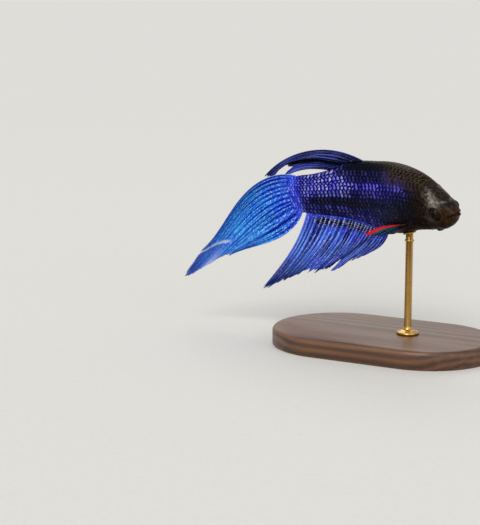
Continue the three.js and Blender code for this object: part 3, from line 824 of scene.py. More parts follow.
def scale_plate():
    """One scale, a unit long and from -1 to 1 across, domed and thin; its free edge is at x = 0."""
    steps = [0.0, 0.4, 0.66, 0.82, 0.92, 1.0]
    spans = [-1, -0.72, -0.38, 0, 0.38, 0.72, 1]
    top, rim, flat = [], [], []
    for a in steps:
        for y in spans:
            free = -abs(y) ** 1.7 / SCALE_LENGTH
            root = -1 + 0.2 * y * y
            x = root + (free - root) * a
            top.append((x, y, a**1.4))
            sides = 0.9 * float(smoothstep(abs(y), 0.5, 0.95))
            rim.append(max(float(smoothstep(a, 0.7, 0.97)), sides))
            flat.append((x + 0.5, y * 0.5, 0))
    wide = len(spans)
    faces = []
    for i in range(len(steps) - 1):
        for j in range(wide - 1):
            a = i * wide + j
            faces.append((a, a + wide, a + wide + 1, a + 1))
    border = list(range(wide)) + [i * wide + wide - 1 for i in range(1, len(steps))]
    border += list(range(len(top) - 2, len(top) - wide - 1, -1))
    border += [i * wide for i in range(len(steps) - 2, 0, -1)]
    under = [(top[i][0], top[i][1], top[i][2] - SCALE_THICKNESS) for i in border]
    for k in range(len(border)):
        a, b = border[k], border[(k + 1) % len(border)]
        c, d = len(top) + k, len(top) + (k + 1) % len(border)
        faces.append((a, b, d, c))
    faces.append(tuple(len(top) + k for k in range(len(border)))[::-1])
    mesh = bpy.data.meshes.new("scale_plate")
    mesh.from_pydata(top + under, [], faces)
    rim += [rim[i] for i in border]
    flat += [flat[i] for i in border]
    mesh.attributes.new("rim", "FLOAT", "POINT").data.foreach_set("value", rim)
    plate_layer = mesh.attributes.new("plate", "FLOAT_VECTOR", "POINT")
    plate_layer.data.foreach_set("vector", np.ravel(flat))
    mesh.shade_smooth()
    return bpy.data.objects.new("scale_plate", mesh)


def seats():
    """Where scales are rooted on one flank: place on the chart, length, half height and lift."""
    middles = [FIRST_SCALE]
    while middles[-1] < LAST_SCALE:
        middles.append(middles[-1] + float(SCALE_PITCH(middles[-1])[0]))
    found = []
    for j, row in enumerate(ROWS_OF_SCALES):
        above = ROWS_OF_SCALES[max(j - 1, 0)]
        below = ROWS_OF_SCALES[min(j + 1, len(ROWS_OF_SCALES) - 1)]
        reach = (above - below) / (2 if 0 < j < len(ROWS_OF_SCALES) - 1 else 1)
        for middle in middles:
            pitch = float(SCALE_PITCH(middle)[0])
            s = middle + (0.5 * pitch if j % 2 else 0)
            drift, squeeze = ROW_DRIFT(s)
            q = row * squeeze + drift
            s += 0.1 * q + 0.3 * max(0, q - 2.5) * float(smoothstep(s, 30, 38))
            low, high = q_limits(s)
            if not low + 0.2 < q < high - 0.15:
                continue
            cover = float(scale_cover(s, q))
            ragged = 0.35 * math.sin(s * 91.7 + q * 37.3)
            if cover < 0.12 or s > float(TAIL_EDGE(q)[0]) + ragged:
                continue
            # None crosses the rear edge of the gill cover.
            along = (s - 0.5 * pitch - GILL["s"]) / GILL["half_length"]
            near_gill = np.hypot(along, (q - GILL["h"]) / GILL["half_height"])
            if abs(near_gill - 1) < 0.11 and s > GILL["s"]:
                continue
            small = 0.75 + 0.25 * cover
            length, half_height = SCALE_LENGTH * pitch * small, reach * squeeze * small
            found.append((s + 0.5 * pitch, q, length, half_height, 0.05 + 0.075 * cover))
    return np.array(found)


def scale_layer():
    """The tree that sets a plate on every seat, with a little unevenness, as one plain mesh."""
    tree = bpy.data.node_groups.new("lay_scales", "GeometryNodeTree")
    face = tree.interface
    face.new_socket("Geometry", in_out="OUTPUT", socket_type="NodeSocketGeometry")
    face.new_socket("Geometry", in_out="INPUT", socket_type="NodeSocketGeometry")
    face.new_socket("Plate", in_out="INPUT", socket_type="NodeSocketObject")
    face.new_socket("Unevenness", in_out="INPUT", socket_type="NodeSocketFloat")
    face.new_socket("Seed", in_out="INPUT", socket_type="NodeSocketInt")
    face.new_socket("Patch", in_out="INPUT", socket_type="NodeSocketFloat")
    face.new_socket("Finish", in_out="INPUT", socket_type="NodeSocketMaterial")

    given = add(tree, "NodeGroupInput").outputs
    named, vector = "GeometryNodeInputNamedAttribute", "FLOAT_VECTOR"
    size = add(tree, named, {"Name": "size"}, data_type=vector)
    spread = {"Min": (-1, -1, -1), "Seed": given["Seed"]}
    chance = add(tree, "FunctionNodeRandomValue", spread, data_type=vector)
    swing = add(tree, "VectorMath", chance, {"Scale": given["Unevenness"]}, operation="SCALE")
    grown = add(tree, "VectorMath", swing, (1.0, 1.0, 1.0), operation="ADD")
    sized = add(tree, "VectorMath", size, grown, operation="MULTIPLY")
    twist = add(tree, "VectorMath", swing, (0.0, 0.0, 0.9), operation="MULTIPLY")
    shape = add(tree, "GeometryNodeObjectInfo", {"Object": given["Plate"]})
    inputs = {"Points": given["Geometry"], "Instance": shape.outputs["Geometry"]}
    inputs.update({"Rotation": twist, "Scale": sized})
    laid = add(tree, "GeometryNodeInstanceOnPoints", inputs)
    real = add(tree, "GeometryNodeRealizeInstances", {"Geometry": laid})
    plate = add(tree, named, {"Name": "plate"}, data_type=vector)
    root = add(tree, named, {"Name": "root"}, data_type=vector)
    patch = add(tree, "VectorMath", plate, {"Scale": given["Patch"]}, operation="SCALE")
    spot = add(tree, "VectorMath", patch, root, operation="ADD")
    inputs = {"Geometry": real, "Name": "OFBake", "Value": spot}
    store = "GeometryNodeStoreNamedAttribute"
    mapped = add(tree, store, inputs, data_type="FLOAT2", domain="CORNER")
    done = add(tree, "GeometryNodeSetMaterial", {"Geometry": mapped, "Material": given["Finish"]})
    add(tree, "NodeGroupOutput", {"Geometry": done})
    return tree


def scale_finish():
    # Clear horn over mirror-like cells: a metallic blue sheen in the middle of each scale, black
    # pigment along its free edge, and a soft gloss from its growth rings. The colour also holds the
    # band's painted highlight, the black band's painted shade and the brow's painted sheen. Real
    # rings are too fine to see: they are drawn 0.07 mm apart. The pigment is mottled in specks of
    # 0.6 mm.
    horn = finish_of("iridescent_scale_horn")
    names = ("blue", "lavender", "brown", "black", "nape", "brow", "rim", "chance", "sheath")
    read = {n: add(horn, "Attribute", attribute_name=n).outputs["Fac"] for n in names}
    plate = add(horn, "Attribute", attribute_name="plate").outputs["Vector"]
    place = add(horn, "TexCoord").outputs["Object"]
    mottle = add(horn, "TexNoise", {"Vector": place, "Scale": 1.7 / MM, "Detail": 3.0})
    violet = add(horn, "Mix", read["chance"], "#4640d0", "#7a72fc", data_type="RGBA")
    pale = add(horn, "Mix", read["chance"], "#686cff", "#b4b6ff", data_type="RGBA")
    sheen = add(horn, "Mix", read["lavender"], violet, pale, data_type="RGBA")
    azure = add(horn, "Mix", read["chance"], "#2444ff", "#809cff", data_type="RGBA")
    sheen = add(horn, "Mix", read["sheath"], sheen, azure, data_type="RGBA")
    night = add(horn, "Mix", mottle, "#03030a", "#161628", data_type="RGBA")
    term = add(horn, "Math", read["lavender"], 0.35, 0.5, operation="MULTIPLY_ADD")
    uneven = add(horn, "Math", read["chance"], term, operation="ADD")
    # The sheen's share comes from the blue, and so from the band's painted highlight too.
    lit = add(horn, "Clamp", add(horn, "Math", read["blue"], uneven, operation="MULTIPLY"))
    centre = add(horn, "Mix", lit, night, sheen, data_type="RGBA")
    # The black band, partly painted shade.
    slate = add(horn, "Mix", read["chance"], "#060612", "#26243f", data_type="RGBA")
    weight = add(horn, "Math", read["black"], 0.85, operation="MULTIPLY")
    centre = add(horn, "Mix", weight, centre, slate, data_type="RGBA")
    cheek = add(horn, "Mix", mottle, "#0d0906", "#2a2118", data_type="RGBA")
    nape = add(horn, "Mix", mottle, "#050201", "#140c06", data_type="RGBA")
    earth = add(horn, "Mix", read["nape"], cheek, nape, data_type="RGBA")
    centre = add(horn, "Mix", read["brown"], centre, earth, data_type="RGBA")
    # The brow's painted sheen reaches onto the first scales.
    weight = add(horn, "Math", read["brow"], 0.9, operation="MULTIPLY")
    centre = add(horn, "Mix", weight, centre, "#7d7266", data_type="RGBA")
    edge = add(horn, "Mix", read["blue"], "#020207", "#030358", data_type="RGBA")
    weight = add(horn, "Math", read["lavender"], read["blue"], operation="MULTIPLY")
    edge = add(horn, "Mix", weight, edge, "#07075c", data_type="RGBA")
    edge = add(horn, "Mix", read["sheath"], edge, "#0c14b4", data_type="RGBA")
    edge = add(horn, "Mix", read["brown"], edge, "#0c0705", data_type="RGBA")
    term = add(horn, "Math", mottle, 1.6, -0.15, operation="MULTIPLY_ADD")
    worn = add(horn, "Math", read["nape"], term, operation="MULTIPLY")
    edge = add(horn, "Mix", worn, edge, "#4a3926", data_type="RGBA")
    term = add(horn, "Math", read["rim"], 0.17, operation="SUBTRACT")
    broken = add(horn, "Math", mottle, 0.35, term, operation="MULTIPLY_ADD")
    broken = add(horn, "Math", read["nape"], -0.3, broken, operation="MULTIPLY_ADD")
    dark = add(horn, "MapRange", broken, 0.06, 0.5)
    term = add(horn, "Math", read["sheath"], -0.2, 1.0, operation="MULTIPLY_ADD")
    dark = add(horn, "Math", dark, term, operation="MULTIPLY")
    colour = add(horn, "Mix", dark, centre, edge, data_type="RGBA")
    waves = {"Vector": plate, "Scale": 9.0}
    rings = add(horn, "TexWave", waves, wave_type="RINGS", rings_direction="SPHERICAL")
    bump = add(horn, "Bump", {"Height": rings.outputs[1], "Strength": 0.12, "Distance": 0.03 * MM})
    term = add(horn, "Math", dark, 0.35, operation="MULTIPLY")
    term = add(horn, "Math", 0.45, term, operation="SUBTRACT")
    metal = add(horn, "Math", read["blue"], term, operation="MULTIPLY")
    rough = add(horn, "Math", mottle, 0.2, 0.27, operation="MULTIPLY_ADD")
    shader = add(
        horn,
        "BsdfPrincipled",
        {
            "Base Color": colour,
            "Metallic": metal,
            "Roughness": rough,
            "Normal": bump,
            "Specular IOR Level": 0.03,
            "Coat Weight": 0.03,
            "Coat Roughness": 0.1,
        },
    )
    add(horn, "OutputMaterial", shader)
    return horn


def set_input(modifier, tree, name, value):
    """Sets a geometry tree's input on the modifier by the socket's identifier."""
    for item in tree.interface.items_tree:
        if item.item_type == "SOCKET" and item.in_out == "INPUT" and item.name == name:
            modifier[item.identifier] = value


def flank_of_scales(side, seed):
    """All the scales of one flank, as one mesh wrapped onto the body."""
    found = seats()
    s, q, length = found[:, 0], found[:, 1], found[:, 2]
    level, start = 0 * s, 0 if side > 0 else 0.5
    on_map = (q + MAP_HEIGHT / 2) / MAP_HEIGHT
    rows = {
        "size": found[:, 2:5],
        "seat": np.column_stack([s - 0.25 * length, q, level]),
        "root": np.column_stack([s / MAP_LENGTH + start, on_map, level]),
    }
    points = bpy.data.meshes.new("seats")
    points.from_pydata(np.column_stack([s, q, level]).tolist(), [], [])
    for key, value in rows.items():
        seat_layer = points.attributes.new(key, "FLOAT_VECTOR", "POINT")
        seat_layer.data.foreach_set("vector", value.ravel().astype(np.float32))
    bed = bpy.data.objects.new("seats", points)
    bpy.context.scene.collection.objects.link(bed)
    layer = bed.modifiers.new("lay_scales", "NODES")
    layer.node_group = scale_tree
    set_input(layer, scale_tree, "Plate", plate_shape)
    set_input(layer, scale_tree, "Unevenness", UNEVENNESS)
    set_input(layer, scale_tree, "Seed", seed)
    set_input(layer, scale_tree, "Patch", PATCH)
    set_input(layer, scale_tree, "Finish", horn)
    ready = bed.evaluated_get(bpy.context.evaluated_depsgraph_get())
    mesh = bpy.data.meshes.new_from_object(ready)
    bpy.data.objects.remove(bed)

    # Wrapped round the body as the skin is, and closer to the solids past the skin's end.
    flat = np.zeros(len(mesh.vertices) * 3)
    mesh.vertices.foreach_get("co", flat)
    s, q, lift = flat.reshape(-1, 3).T
    turn = turn_at(s, q)
    above, below, half = body_at(s)
    h = np.where(np.sin(turn) > 0, above, below) * np.sin(turn)
    cover = scale_cover(s, q)
    relief, _ = face_relief(s, h, half * np.cos(turn))
    inset = BARE_DEPTH + (SCALE_DEPTH - BARE_DEPTH) * cover
    inset = inset * (1 - 0.8 * smoothstep(s, 47, 48.6))
    s, h, w = on_body(s, turn, lift - inset + relief * (1 - 0.4 * cover))
    mesh.vertices.foreach_set("co", posed(s, h, side * w).ravel())
    if side < 0:
        mesh.flip_normals()

    # Each scale has one colour, that of its seat, and a steady chance from 0 to 1 of its own.
    seat = np.zeros(len(mesh.vertices) * 3, np.float32)
    mesh.attributes["seat"].data.foreach_get("vector", seat)
    s, q, _ = seat.reshape(-1, 3).T
    chance = np.sin(s * 127.1 + q * 311.7 + side) * 43758.5453
    edge = TAIL_EDGE(q)[:, 0]
    sheath = smoothstep(s, edge - 3.4, edge - 0.6)
    skin_paint(mesh, s, q, {"chance": chance - np.floor(chance), "sheath": sheath})
    for spare in ("seat", "root", "size"):
        if spare in mesh.attributes:
            mesh.attributes.remove(mesh.attributes[spare])
    mesh.name = "scales_right" if side > 0 else "scales_left"
    mesh.update()
    set_on_body(mesh.name, mesh)


plate_shape = scale_plate()
scale_tree = scale_layer()
horn = scale_finish()
flank_of_scales(1, 11)
flank_of_scales(-1, 12)
bpy.data.objects.remove(plate_shape)

# ---------------------------------------------------------------------------------------------
# Back fin
# A dark navy web in two lobes, swept back over the tail stem. Like every fin it is one thin cast
# sheet over soft rays, which fork twice and stand as ridges, and it frays between their tips.

# A key ray's root (a share of the standard length, or a height), its angle and bends in degrees,
# and its length, sway and fold to one side in millimetres.
RAY_NAMES = ("root", "angle", "length", "bend", "curl", "sway", "fold")
WEB_THICKNESS = 0.09
RAY_THICKNESS = 0.16
ROOT_DEPTH = 0.4
BEAD_STEP = 0.42  # along a ray: coarser than the real one, so that beads show
JOINT_STEP = 0.52  # along the bare root of a ray
WEB_METAL = 0.1


def fin_lines(rays, root_of, shares, steps, cut):
    """Straight coordinates of the sheet between key rays, and the run along each line."""
    keys = smooth_rows([[i, *ray] for i, ray in enumerate(rays)])(shares * (len(rays) - 1))
    ray = dict(zip(RAY_NAMES, keys.T))
    s0, h0, w0, out = root_of(ray["root"])
    length = ray["length"] - cut
    v = np.linspace(0, 1, steps + 1)
    kept = (length / ray["length"])[:, None]
    mid = kept * (v[:-1] + v[1:]) / 2
    turned = ray["bend"][:, None] * mid + ray["curl"][:, None] * mid**2
    heading = np.radians(ray["angle"][:, None] + turned)
    step = (length / steps)[:, None]
    start = np.zeros((len(shares), 1))
    s = s0[:, None] + np.hstack([start, np.cumsum(np.cos(heading) * step, axis=1)])
    h = h0[:, None] + np.hstack([start, np.cumsum(np.sin(heading) * step, axis=1)])
    off = ray["sway"][:, None] * (kept * v) ** 1.5
    off = off + ray["fold"][:, None] * np.sin(math.pi * kept * v)
    return s, h, w0[:, None] + out * off, length[:, None] * v


def fin(name, rays, root_of, make, material, slot, node):
    """A fin as one closed mesh, which takes the place of its plain node.

    rays are its key rays, front to rear, and root_of says where on the body one starts. make holds
    the counts and depths that DORSAL_MAKE explains.
    """
    chance = np.random.default_rng(make["seed"])
    cells = make["rays"] - 1
    ray_numbers = np.arange(make["rays"] + 1)
    twig_numbers = np.arange(4 * make["rays"] + 4)
    shares = np.linspace(0, 1, make["columns"] + 1)

    # Rays stand unevenly apart. place counts them, with four twigs to each at the margin.
    shift = chance.uniform(-0.28, 0.28, make["rays"] + 1)
    shift[0] = shift[cells] = 0
    place = shares * cells + np.interp(shares * cells, ray_numbers, shift)
    from_ray = np.abs(place - np.round(place))
    tip = np.abs(place * 4 - np.round(place * 4))

    # The margin is cut back between rays and between twigs, and by uneven lengths and gaps.
    lengths = chance.uniform(-1, 1, len(ray_numbers)) * make["uneven"]
    twigs = chance.uniform(-1, 1, len(twig_numbers)) * make["uneven"] * 0.45
    cut = make["notch"] * (2 * from_ray) ** 1.5 + make["fray"] * (2 * tip) ** 1.3
    cut = cut + np.interp(place, ray_numbers, lengths)
    cut = cut + np.interp(place * 4, twig_numbers, twigs)
    cut = np.maximum(cut, 0) + 0.3
    for middle, reach, deep in make["gaps"]:
        cut = cut + deep * (1 - smoothstep(np.abs(shares - middle), 0.5 * reach, reach))
    s, h, w, run = fin_lines(rays, root_of, shares, make["steps"], cut)

    # Ridges follow the rays, which fork in two and then in four, and grow finer.
    v = np.linspace(0, 1, make["steps"] + 1)[None, :]
    first, second = make["forks"]
    spread = smoothstep(v, first - 0.1, first + 0.25)
    again = smoothstep(v, second - 0.08, second + 0.2)
    gap = np.abs(np.abs(from_ray[:, None] - 0.25 * spread) - 0.125 * again)
    rise = np.gradient(s, axis=0) ** 2 + np.gradient(h, axis=0) ** 2
    width = np.sqrt(rise) * make["columns"] / cells
    thick = make["ray_width"] * (1 - 0.55 * v)
    ridge = np.exp(-((gap * width / thick) ** 2))

    # The web sinks between rays in pleats, and ripples toward its margin.
    sink = 0.5 - 0.5 * np.cos(2 * math.pi * place)[:, None] + 0 * v
    depth = make["pleat"] * smoothstep(v, 0.02, 0.2) * (1 - 0.45 * v)
    ripple = np.sin(2 * math.pi * (place[:, None] / make["wave"] + 0.35 * v))
    w = w + make["toward"] * depth * (0.5 - sink) * 2 + make["ripple"] * v * ripple

    # Two faces and the border that closes them.
    half = (WEB_THICKNESS + RAY_THICKNESS * ridge * (1 - 0.5 * v)) / 2
    front, rear = posed(s, h, w + half), posed(s, h, w - half)
    count, deep = s.shape
    grid = np.arange(count * deep).reshape(count, deep)
    a, b, c, d = grid[:-1, :-1], grid[1:, :-1], grid[1:, 1:], grid[:-1, 1:]
    front_faces = np.stack([a, b, c, d], -1).reshape(-1, 4)
    rear_faces = np.stack([d, c, b, a], -1).reshape(-1, 4) + count * deep
    loop = np.concatenate([grid[:-1, 0], grid[-1, :-1], grid[1:, -1][::-1], grid[0, 1:][::-1]])
    ahead = np.roll(loop, -1)
    border = np.stack([ahead, loop, loop + count * deep, ahead + count * deep], -1)
    faces = np.concatenate([front_faces, rear_faces, border])
    if make["turned"]:
        faces = faces[:, ::-1]
    points = np.concatenate([front.reshape(-1, 3), rear.reshape(-1, 3)])
    piece = new_piece(name, points, faces.tolist(), material, slot)

    # Marks for the paint: rays, the slits between them for painted shade, tones, and the way along
    # and across.
    folds = chance.uniform(make["faintest"], 1.0, len(ray_numbers))
    deepest = folds[np.clip(np.floor(place).astype(int), 0, cells)][:, None]
    slit = sink ** make["fold_edge"] * smoothstep(v, 0.02, 0.1) * deepest
    slit = slit * (1 - 0.5 * smoothstep(v, 0.45, 1))
    fine = smoothstep(gap * width, 0.12, 0.3) * 0.6 * smoothstep(v, first * 0.5, first + 0.2)
    half_cells = np.arange(2 * make["rays"] + 2)
    tone = np.interp(place * 2, half_cells, chance.uniform(0, 1, len(half_cells)))
    marks = {
        "ray": ridge,
        "slit": np.maximum(slit, fine) * make["folds"],
        "tone": tone[:, None] + 0 * v,
        "along": v + 0 * ridge,
        "across": shares[:, None] + 0 * ridge,
        "run": run,
        "hem": smoothstep(run, run[:, -1:] - make["hem"], run[:, -1:]),
    }
    for key, value in marks.items():
        both = np.concatenate([value.ravel(), value.ravel()]).astype(np.float32)
        piece.data.attributes.new(key, "FLOAT", "POINT").data.foreach_set("value", both)
    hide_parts(node)


def fin_web(name, colours, lanes, own_fold=None):
    """Painted fin web over jointed rays: thin and satin, each ray a chain of pale beads.

    Its paint is cloudy over 4 mm, streaked along the rays, and grainy at 0.45 mm. It has painted
    shade in slits and folds, painted highlights on fold crests and along one edge, and painted
    glints on the brightest beads. lanes is the count of fine branches across the fin, and own_fold
    adds a fin's own fold to the paint.
    """
    web = finish_of(name)
    names = ("ray", "slit", "tone", "along", "across", "run", "hem")
    read = {n: add(web, "Attribute", attribute_name=n).outputs["Fac"] for n in names}
    place = add(web, "TexCoord").outputs["Object"]
    grain = add(web, "TexNoise", {"Vector": place, "Scale": 2.2 / MM, "Detail": 3.0})
    cloud = add(web, "TexNoise", {"Vector": place, "Scale": 0.23 / MM, "Detail": 4.0})
    lane = add(web, "Math", read["across"], lanes, operation="MULTIPLY")
    long = add(web, "Math", read["run"], 0.14, operation="MULTIPLY")
    lines = add(web, "CombineXYZ", lane, long)
    streak = add(web, "TexNoise", {"Vector": lines, "Scale": 1.0, "Detail": 4.0})
    # Beads lie on the fine branches.
    bead_run = add(web, "Math", read["run"], 1 / BEAD_STEP, operation="MULTIPLY")
    cells = {"Vector": add(web, "CombineXYZ", lane, bead_run), "Scale": 1.0, "Randomness": 0.75}
    cell = add(web, "TexVoronoi", cells, voronoi_dimensions="2D")
    dot = add(web, "MapRange", cell.outputs["Distance"], 0.5, 0.14)
    lit = add(web, "MapRange", cell.outputs["Color"], 0.32, 0.8)
    glint = add(web, "MapRange", cell.outputs["Color"], 0.6, 0.8)
    bead = add(web, "Math", dot, lit, operation="MULTIPLY")
    inner = add(web, "ValToRGB", read["across"], steps=colours["inner"])
    outer = add(web, "ValToRGB", read["across"], steps=colours["outer"])
    weight = add(web, "MapRange", read["along"], 0.1, 0.75)
    body = add(web, "Mix", weight, inner, outer, data_type="RGBA")
    bright = add(web, "MapRange", cloud, 0.5, 0.68)
    weight = add(web, "Math", bright, colours["bright_share"], operation="MULTIPLY")
    body = add(web, "Mix", weight, body, colours["bright"], data_type="RGBA")
    term = add(web, "Math", read["tone"], 0.4, streak, operation="MULTIPLY_ADD")
    tint = add(web, "MapRange", term, 0.55, 0.95)
    weight = add(web, "Math", tint, 0.4, operation="MULTIPLY")
    body = add(web, "Mix", weight, body, colours["deep"], data_type="RGBA")
    # Broad soft folds, wider than the cells between rays, wander down the fin: painted shade in
    # their valleys and painted highlight on their crests.
    term = add(web, "Math", read["across"], lanes / 5, operation="MULTIPLY")
    long = add(web, "Math", read["run"], 0.07, operation="MULTIPLY")
    wander = {"Vector": add(web, "CombineXYZ", term, long), "Distortion": 0.4}
    broad = add(web, "TexNoise", {**wander, "Scale": 1.0, "Detail": 1.0})
    valley = add(web, "MapRange", broad, 0.55, 0.61)
    crest = add(web, "MapRange", broad, 0.45, 0.3)
    weight = add(web, "Math", valley, colours["broad_share"], operation="MULTIPLY")
    body = add(web, "Mix", weight, body, colours["deep"], data_type="RGBA")
    weight = add(web, "Math", crest, 0.5 * colours["broad_share"], operation="MULTIPLY")
    body = add(web, "Mix", weight, body, colours["bright"], data_type="RGBA")
    ray = add(web, "ValToRGB", read["along"], steps=colours["ray"])
    term = add(web, "Math", bead, 0.3, colours["ray_share"], operation="MULTIPLY_ADD")
    strength = add(web, "Math", read["ray"], term, operation="MULTIPLY")
    body = add(web, "Mix", strength, body, ray, data_type="RGBA")
    heel = add(web, "MapRange", read["run"], 1.5, colours["heel_reach"], 0.85, 0.0)
    body = add(web, "Mix", heel, body, colours["heel"], data_type="RGBA")
    # Painted shade in the slits between rays.
    body = add(web, "Mix", read["slit"], body, colours["fold"], data_type="RGBA")
    # Gloom: painted shade of folds, as dark stretches across the fin, with edges that sway over
    # 7 mm. Each step is a place across the fin and a darkness from 0 to 255.
    sway = add(web, "TexNoise", {"Vector": place, "Scale": 0.15 / MM, "Detail": 1.0})
    sway = add(web, "Math", sway, 0.5, operation="SUBTRACT")
    term = add(web, "Math", sway, 0.14, read["across"], operation="MULTIPLY_ADD")
    steps = [(start, f"#{dark:02x}{dark:02x}{dark:02x}") for start, dark in colours["gloom"]]
    gloom = add(web, "ValToRGB", term, steps=steps)
    body = add(web, "Mix", gloom, body, colours["fold"], data_type="RGBA")
    if "root" in colours:
        # A bare strip at the root, black between pale joints of the rays.
        nearness = add(web, "MapRange", read["run"], 2.5, 3.5, 1.0, 0.0)
        start = add(web, "MapRange", read["run"], 0.8, 1.15)
        rear = add(web, "MapRange", read["across"], 0.84, 0.93, 1.0, 0.0)
        front = add(web, "MapRange", read["across"], 0.1, 0.25)
        term = add(web, "Math", nearness, start, operation="MULTIPLY")
        other = add(web, "Math", rear, front, operation="MULTIPLY")
        strip = add(web, "Math", term, other, operation="MULTIPLY")
        term = add(web, "Math", read["run"], 2 * math.pi / JOINT_STEP, operation="MULTIPLY")
        beat = add(web, "Math", term, operation="SINE")
        joint = add(web, "MapRange", beat, -0.5, 0.4)
        weight = add(web, "Math", strip, 0.95, operation="MULTIPLY")
        body = add(web, "Mix", weight, body, colours["root"], data_type="RGBA")
        term = add(web, "Math", joint, strip, operation="MULTIPLY")
        shown = add(web, "Math", term, read["ray"], operation="MULTIPLY")
        body = add(web, "Mix", shown, body, "#ccd0ff", data_type="RGBA")
    # Painted glints: the brightest beads turn nearly white, and all fade in the painted shade of
    # slits and gloom.
    term = add(web, "Math", read["slit"], -0.9, 1.0, operation="MULTIPLY_ADD")
    spark = add(web, "Math", bead, term, operation="MULTIPLY")
    term = add(web, "Math", read["ray"], 0.7, 0.4, operation="MULTIPLY_ADD")
    spark = add(web, "Math", spark, term, operation="MULTIPLY")
    term = add(web, "Math", gloom, -0.9, 1.0, operation="MULTIPLY_ADD")
    spark = add(web, "Math", spark, term, operation="MULTIPLY")
    spark = add(web, "Math", spark, colours["bead_share"], operation="MULTIPLY")
    pearl = add(web, "Mix", glint, colours["bead"], colours["glint"], data_type="RGBA")
    body = add(web, "Mix", spark, body, pearl, data_type="RGBA")
    start, end, share, dark = colours["tip"]
    tip = add(web, "MapRange", read["run"], start, end, 0.0, share)
    body = add(web, "Mix", tip, body, dark, data_type="RGBA")
    # A pale line painted along one edge as a highlight.
    start, end, share, light = colours["edge"]
    rim = add(web, "MapRange", read["across"], start, end, 0.0, share)
    body = add(web, "Mix", rim, body, light, data_type="RGBA")
    if own_fold:
        body = own_fold(web, body, read)
    term = add(web, "Math", cloud, 1.4, colours["hem_share"], operation="MULTIPLY_ADD")
    hem = add(web, "Math", read["hem"], term, operation="MULTIPLY")
    body = add(web, "Mix", add(web, "Clamp", hem), body, colours["hem"], data_type="RGBA")
    term = add(web, "Math", read["ray"], grain, operation="ADD")
    height = add(web, "Math", bead, 0.5, term, operation="MULTIPLY_ADD")
    bump = add(web, "Bump", {"Height": height, "Strength": 0.35, "Distance": 0.05 * MM})
    rough = add(web, "Math", grain, 0.2, 0.28, operation="MULTIPLY_ADD")
    look = {"Base Color": body, "Metallic": WEB_METAL, "Roughness": rough, "Normal": bump}
    shader = add(web, "BsdfPrincipled", look, {"Specular IOR Level": 0.02})
    add(web, "OutputMaterial", shader)
    return web


def in_back(share):
    """Where a ray starts: s, h, w, and the side that it sways to. It is rooted in the flesh."""
    s = share * STANDARD_LENGTH
    return s, body_at(s)[0] - ROOT_DEPTH, 0 * s, 1


DORSAL_RAYS = [
    [0.575, 28, 30.2, -64, -8, -1.6, 0],
    [0.635, 25, 25.8, -73, 8, -2.4, -0.6],
    [0.695, 12, 21.1, 8, -74, -1.8, 0.5],
    [0.75, 2, 16, 22, -66, -2.2, -0.3],
    [0.8, 14, 11.9, -40, 1, -1.6, 0.2],
]
DORSAL_MAKE = {
    "rays": 11,
    "columns": 200,  # points across the fin
    "steps": 70,  # points along it
    "pleat": 0.13,  # how deep the web sinks between rays
    "toward": 1,  # the side that the rays stand out on
    "forks": (0.4, 0.72),  # where rays fork, as shares of their length
    "notch": 0.5,  # how far the margin is cut back between rays
    "fray": 0.3,  # and between twigs
    "uneven": 0.3,  # how far rays differ in length
    "ray_width": 0.16,
    "ripple": 0.1,  # how far the margin waves to the sides
    "wave": 3.0,  # rays to a wave
    "folds": 1.0,  # how dark the slits between rays are painted
    "fold_edge": 1.1,  # how sharp they are
    "faintest": 0.6,  # and the share of the faintest
    "hem": 1.2,  # width of the painted hem
    "gaps": [(0.58, 0.15, 3.6)],  # middle, reach and depth of gaps in the margin
    "seed": 3,
    "turned": False,  # whether its faces need turning to point outward
}
dorsal_web = fin_web(
    "navy_fin_web",
    {
        "inner": [(0.0, "#05071c"), (0.4, "#0a0e38"), (0.7, "#343fc4"), (1.0, "#242c94")],
        "outer": [(0.0, "#080b2c"), (0.4, "#12174e"), (0.7, "#4350d4"), (1.0, "#242c94")],
        "bright": "#4c68e8",
        "bright_share": 0.6,
        "broad_share": 0.6,
        "deep": "#04061a",
        "heel": "#05071c",
        "heel_reach": 7.0,
        "fold": "#010106",
        "gloom": [
            (0.0, 0x60), (0.12, 0), (0.4, 0), (0.51, 0xFF), (0.61, 0xFF), (0.66, 0),
            (0.86, 0), (0.95, 0xB0),
        ],
        "ray": [(0.0, "#4c58b0"), (0.5, "#8088ee"), (1.0, "#8c9cff")],
        "ray_share": 0.75,
        "bead": "#7c8cf0",
        "bead_share": 0.35,
        "glint": "#a8b8ff",
        "tip": (22.0, 27.0, 0.55, "#0a0e38"),
        "edge": (0.02, 0.006, 0.55, "#7078b4"),
        "hem": "#4b4f7d",
        "hem_share": -0.4,
    },
    lanes=30.0,
)
fin("dorsal_web", DORSAL_RAYS, in_back, DORSAL_MAKE, dorsal_web, "dark_fin", "dorsal_fin")

# ---------------------------------------------------------------------------------------------
# Anal fin
# A long violet-blue veil under the body, ragged at its margin and slit twice. It is cast as the
# back fin is, and painted black at its root, where pale joints of the rays show.


def in_belly(share):
    """Where a ray starts under the body, as in_back gives it on the back."""
    s = share * STANDARD_LENGTH
    return s, ROOT_DEPTH - body_at(s)[1], 0 * s, 1


